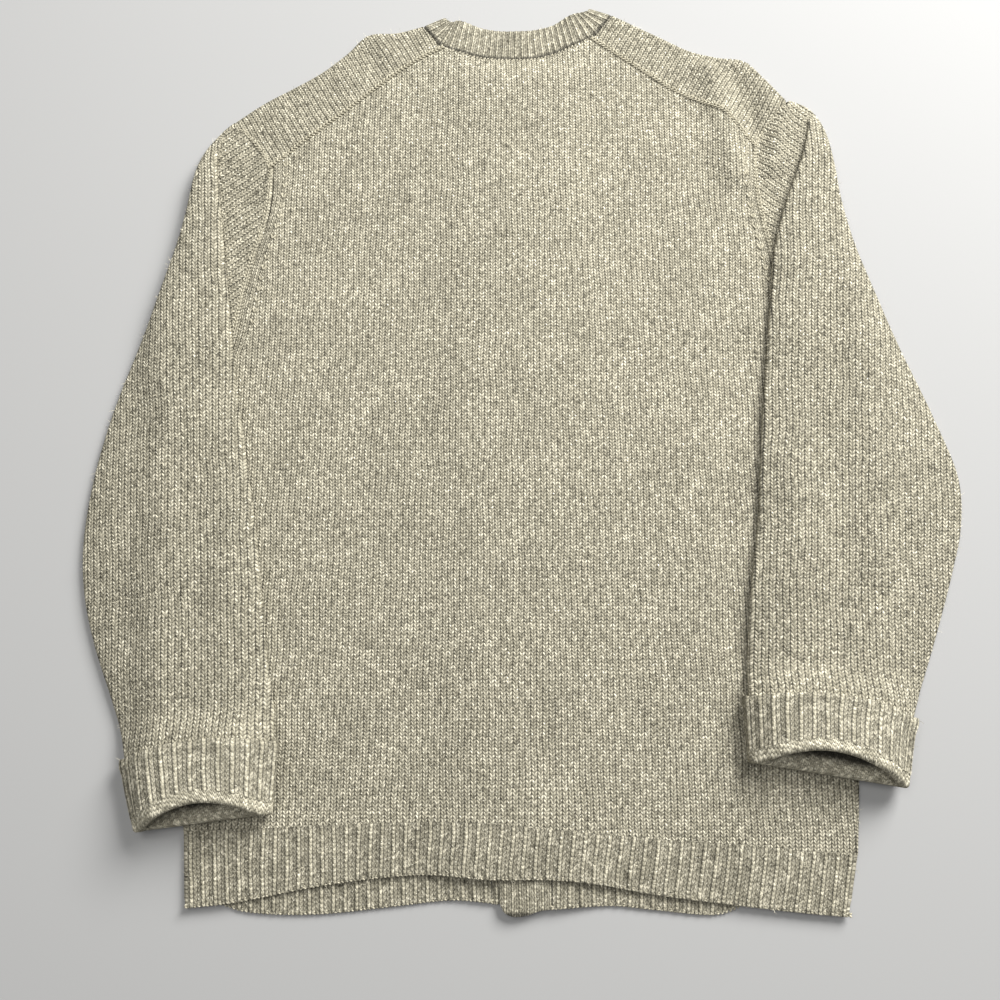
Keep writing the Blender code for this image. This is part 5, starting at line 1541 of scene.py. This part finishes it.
def yarn(name, tone):
    net = Net(name)
    place = net.node("ShaderNodeTexCoord", output=3)
    heather = net.noise(place, 900.0, 2.0)
    share = (heather - 0.5) * 1.6 + tone
    return net.finish(("Base Color", fibres(net, share)), *DULL)


# %% Set the chains
LINK_STEP, MARK_STEP, CAST_ON_Y, CAST_ON_IN = 0.0031, 0.0095, 0.010, 0.0010
SEAM_YARN = yarn("seam_yarn", 0.52)
chains = chain_tree()
link = link_shape("link", 0.0018, 0.0034, 0.0017)
loop = link_shape("loop", 0.0014, 0.0026, 0.0017)
mark = link_shape("mark", 0.0022, 0.0050, 0.0017)
seam_pieces = []


def chain(name, points, owner, shape=link, spacing=LINK_STEP):
    line = line_object(points)
    values = {"Link": shape, "Spacing": spacing, "Material": SEAM_YARN}
    seam_pieces.append((chains.made_on(line, name, values), owner))
    bpy.data.objects.remove(line)


for side in BOTH:
    seam = finer(line_of(SHOULDER[side], "seam"), 60)
    chain(f"shoulder_chain_{side}", on_back(seam, HALF + 0.0005), back)
    sewn = line_of(ARM[side], "back")
    sewn = spline(sewn, np.linspace(1, len(sewn) - 1.3, 90))
    chain(f"armhole_chain_{side}", on_back(sewn, HALF - 0.0003), sleeves[side])
neck_seam = finer(line_of(NECK_BACK[2:-2], "seam"), 90)
chain("neck_chain", on_back(neck_seam, NECK_ABOVE - 0.0005), neckband)
for number, points in enumerate(mark_lines):
    chain(f"fashion_marks_{number}", points + (0, 0, HALF + 0.0002), back, mark, MARK_STEP)

# Each hem's free edge is a row of cast-on loops.
xs = np.linspace(side_x(CAST_ON_Y, "left") + 0.002, side_x(CAST_ON_Y, "right") - 0.002, 200)
low = np.column_stack([xs, edge_y(BACK_HEM, xs) + CAST_ON_IN])
chain("cast_on_back", on_back(low, 0.0003), back_hem, loop)
for side in BOTH:
    xs = np.linspace(side_x(CAST_ON_Y, side), CENTRE_X[side], 120)[3:]
    ys = edge_y(FRONT_EDGE[side], xs) + CAST_ON_IN
    edge = np.column_stack([xs, ys, front_z(xs, side) + 0.0003])
    chain(f"cast_on_{side}", edge, front_hems[side], loop)
for thing in (link, loop, mark):
    bpy.data.objects.remove(thing)


# %% The fuzz tree
def fuzz_tree():
    net = Tree("fuzz", [("Fibre", "Object"), ("Density", "Float"), ("Length", "Float"),
                        ("Seed", "Int"), ("Material", "Material")])
    index = net.node("GeometryNodeInputMaterialIndex")
    outside = net.node("FunctionNodeCompare", [(2, index.outputs[0]), (3, 0)],
                       data_type="INT", operation="EQUAL")
    normal = net.node("GeometryNodeInputNormal").outputs[0]
    up = net.node("ShaderNodeSeparateXYZ", [(0, normal)]).outputs[2]
    clear = net.node("FunctionNodeCompare", [(0, up), (1, -0.3)], data_type="FLOAT",
                     operation="GREATER_THAN")
    seen = net.node("FunctionNodeBooleanMath", [(0, outside.outputs[0]), (1, clear.outputs[0])],
                    operation="AND")
    points = net.node("GeometryNodeDistributePointsOnFaces", [
        ("Mesh", net.given("Geometry")), ("Selection", seen.outputs[0]),
        ("Density", net.given("Density")), ("Seed", net.given("Seed"))], distribute_method="RANDOM")
    tilt = net.node("FunctionNodeRandomValue", [
        (0, (-1.35, -1.35, 0.0)), (1, (1.35, 1.35, 6.283)), ("Seed", net.given("Seed"))],
        data_type="FLOAT_VECTOR")
    turned = net.node("FunctionNodeRotateRotation", [
        ("Rotation", points.outputs["Rotation"]),
        ("Rotate By", net.node("FunctionNodeEulerToRotation", [(0, tilt.outputs[0])]).outputs[0])],
        rotation_space="LOCAL")
    size = net.node("FunctionNodeRandomValue", [(2, 0.4), (3, 1.3), ("Seed", net.given("Seed"))],
                    data_type="FLOAT")
    long = net.node("ShaderNodeMath", [(0, size.outputs[1]), (1, net.given("Length"))],
                    operation="MULTIPLY")
    fibre = net.node("GeometryNodeObjectInfo", [("Object", net.given("Fibre"))])
    placed = net.node("GeometryNodeInstanceOnPoints", [
        ("Points", points.outputs["Points"]), ("Instance", fibre.outputs["Geometry"]),
        ("Rotation", turned.outputs[0]), ("Scale", long.outputs[0])])
    net.finish(placed.outputs["Instances"], net.given("Material"))
    return net


FIBRE = (0.0, -0.1, 0.052), (0.10, 0.45, 0.044), (0.42, 0.85, 0.010)     # x, z and width, root to tip


def fibre_shape():
    """A bent ribbon about one unit long, rooted just below its own origin, which rises along Z."""
    points, faces = [], []
    for step, (x, z, width) in enumerate(FIBRE):
        points += [(x, -width / 2, z), (x, width / 2, z)]
        if step:
            k = 2 * step
            faces.append((k - 2, k - 1, k + 1, k))
    return linked("fibre", mesh_of("fibre", points, [], faces))


# %% Scatter the fuzz
FUZZ_YARN = yarn("fuzz_yarn", 0.8)
fuzz, fibre = fuzz_tree(), fibre_shape()
fuzz_pieces = []
FIBRE_LENGTH = 0.0042
FUZZY = [(back, 26000.0), (back_hem, 26000.0), (neckband, 40000.0)]        # fibres per square metre
for pair, density in ((fronts, 24000.0), (sleeves, 30000.0), (cuffs, 40000.0)):
    FUZZY += [(pair[side], density) for side in BOTH]
for seed, (owner, density) in enumerate(FUZZY, start=1):
    made = fuzz.made_on(owner, owner.name.replace("look", "fuzz"), {
        "Fibre": fibre, "Density": density, "Length": FIBRE_LENGTH, "Seed": seed,
        "Material": FUZZ_YARN})
    fuzz_pieces.append((made, owner))
bpy.data.objects.remove(fibre)

# %% [markdown]
# ## Each look and its CAD part
# Each look rides the garment's one body and stands for its CAD part. This table gives, for each,
# the flat size of cloth that a maker would cut or knit.

SHEETS = [
    # look, CAD node, flat width, flat length, area, how it is held
    (back, "back", 0.525, 0.665, 0.290, "laid"),
    (back_hem, "back_hem", 0.500, 0.060, 0.020, "laid"),
    (neckband, "neckband", 0.520, 0.028, 0.0115, "folded"),
    (fronts["left"], "front_left", 0.245, 0.700, 0.147, "folded"),
    (fronts["right"], "front_right", 0.245, 0.710, 0.150, "folded"),
    (front_hems["left"], "front_left_hem", 0.235, 0.052, 0.0105, "laid"),
    (front_hems["right"], "front_right_hem", 0.230, 0.052, 0.0105, "laid"),
    (bands["left"], "button_band_left", 0.038, 0.640, 0.024, "laid"),
    (bands["right"], "button_band_right", 0.038, 0.640, 0.024, "laid"),
    (sleeves["left"], "sleeve_left", 0.290, 0.600, 0.145, "folded"),
    (sleeves["right"], "sleeve_right", 0.330, 0.600, 0.160, "folded"),
    (cuffs["left"], "cuff_left", 0.220, 0.040, 0.0080, "folded"),
    (cuffs["right"], "cuff_right", 0.250, 0.040, 0.0090, "folded"),
]

# %% [markdown]
# ## Buttons
# The six buttons are horn: brown, streaked and slightly glossy. Their shape comes from the frame,
# so only their material changes here. Streaks are noise stretched along one axis.

# %% Horn for the buttons
def horn():
    net = Net("horn")
    place = net.node("ShaderNodeTexCoord", output=3)
    turned = net.node("ShaderNodeMapping", [("Vector", place), ("Rotation", (0.0, 0.0, 0.6)),
                                            ("Scale", (1.0, 0.22, 1.0))])
    streak = net.noise(turned, 420.0, 3.0)
    grain = net.noise(turned, 1800.0, 2.0)
    colour = net.mix(net.ease(streak, 0.38, 0.62), (0.050, 0.022, 0.009, 1), (0.230, 0.120, 0.050, 1))
    gloss = net.ease(grain, 0.3, 0.7, 0.24, 0.38)
    bump = net.node("ShaderNodeBump", (("Strength", 0.4), ("Distance", 0.0001), ("Height", grain)))
    return net.finish(
        ("Base Color", colour), ("Roughness", gloss), ("Coat Weight", 0.3), ("Normal", bump))


HORN = horn()
for number in range(1, 7):
    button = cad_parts[f"button_{number}"]
    for place in button.material_slots:
        place.material = HORN
    print(button.name, len(button.material_slots), "slot in horn")

# %% [markdown]
# ## Floor, light and camera
# The garment lies on a plain pale surface. Each look, and the chains and fuzz on it, rides the body,
# and its CAD part is hidden. A large soft lamp on the wearer's upper right gives the photo's
# shadows, and a weak one fills them. The camera looks down from a little below the middle, with a
# phone's usual field of view.

# %% Floor, and the looks on the body
FLOOR_SIZE = 3.0
corners = [(x * FLOOR_SIZE, y * FLOOR_SIZE, 0) for x, y in ((-1, -1), (1, -1), (1, 1), (-1, 1))]
floor = linked("floor", mesh_of("floor", corners, [], [(0, 1, 2, 3)]))
floor.data.materials.append(Net("floor").finish(
    ("Base Color", (0.33, 0.327, 0.319, 1.0)), ("Roughness", 0.9)))
PLAIN_KNIT = ("back", "front_left", "front_right", "sleeve_left", "sleeve_right")
for look, node, width, length, area, held in SHEETS:
    on_it = [extra for extra, owner in seam_pieces + fuzz_pieces if owner == look]
    for thing in (look, *on_it):
        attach(thing, "root")
        "jersey" if node in PLAIN_KNIT else "rib"
    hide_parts(node)


# %% Light and camera
def aim(thing, place, target):
    thing.location = place
    thing.rotation_mode = "QUATERNION"
    thing.rotation_quaternion = (Vector(target) - Vector(place)).to_track_quat("-Z", "Y")


for name, place, size, power in (
    ("key", (1.25, 1.5, 1.4), 1.25, 146),
    ("fill", (-0.5, 0.2, 2.2), 1.4, 28),
):
    light = bpy.data.lights.new(name, "AREA")
    light.size, light.energy = size, power
    aim(linked(name, light), place, (0, 0, 0))
world = bpy.data.worlds.new("studio")
world.use_nodes = True
sky = world.node_tree.nodes["Background"].inputs
sky["Color"].default_value, sky["Strength"].default_value = (0.95, 0.97, 1.0, 1.0), 0.20
bpy.context.scene.world = world

lens = bpy.data.cameras.new("camera")
lens.sensor_width, lens.lens = 36.0, 36.108
camera = linked("camera", lens)
aim(camera, (-0.0191, -0.2258, 0.7795), (-0.0191, -0.0644, 0.0))
bpy.context.scene.camera = camera
# Standard adds no tone curve, so the wool's light and dark keep the contrast that a photo has.
bpy.context.scene.view_settings.view_transform = "Standard"
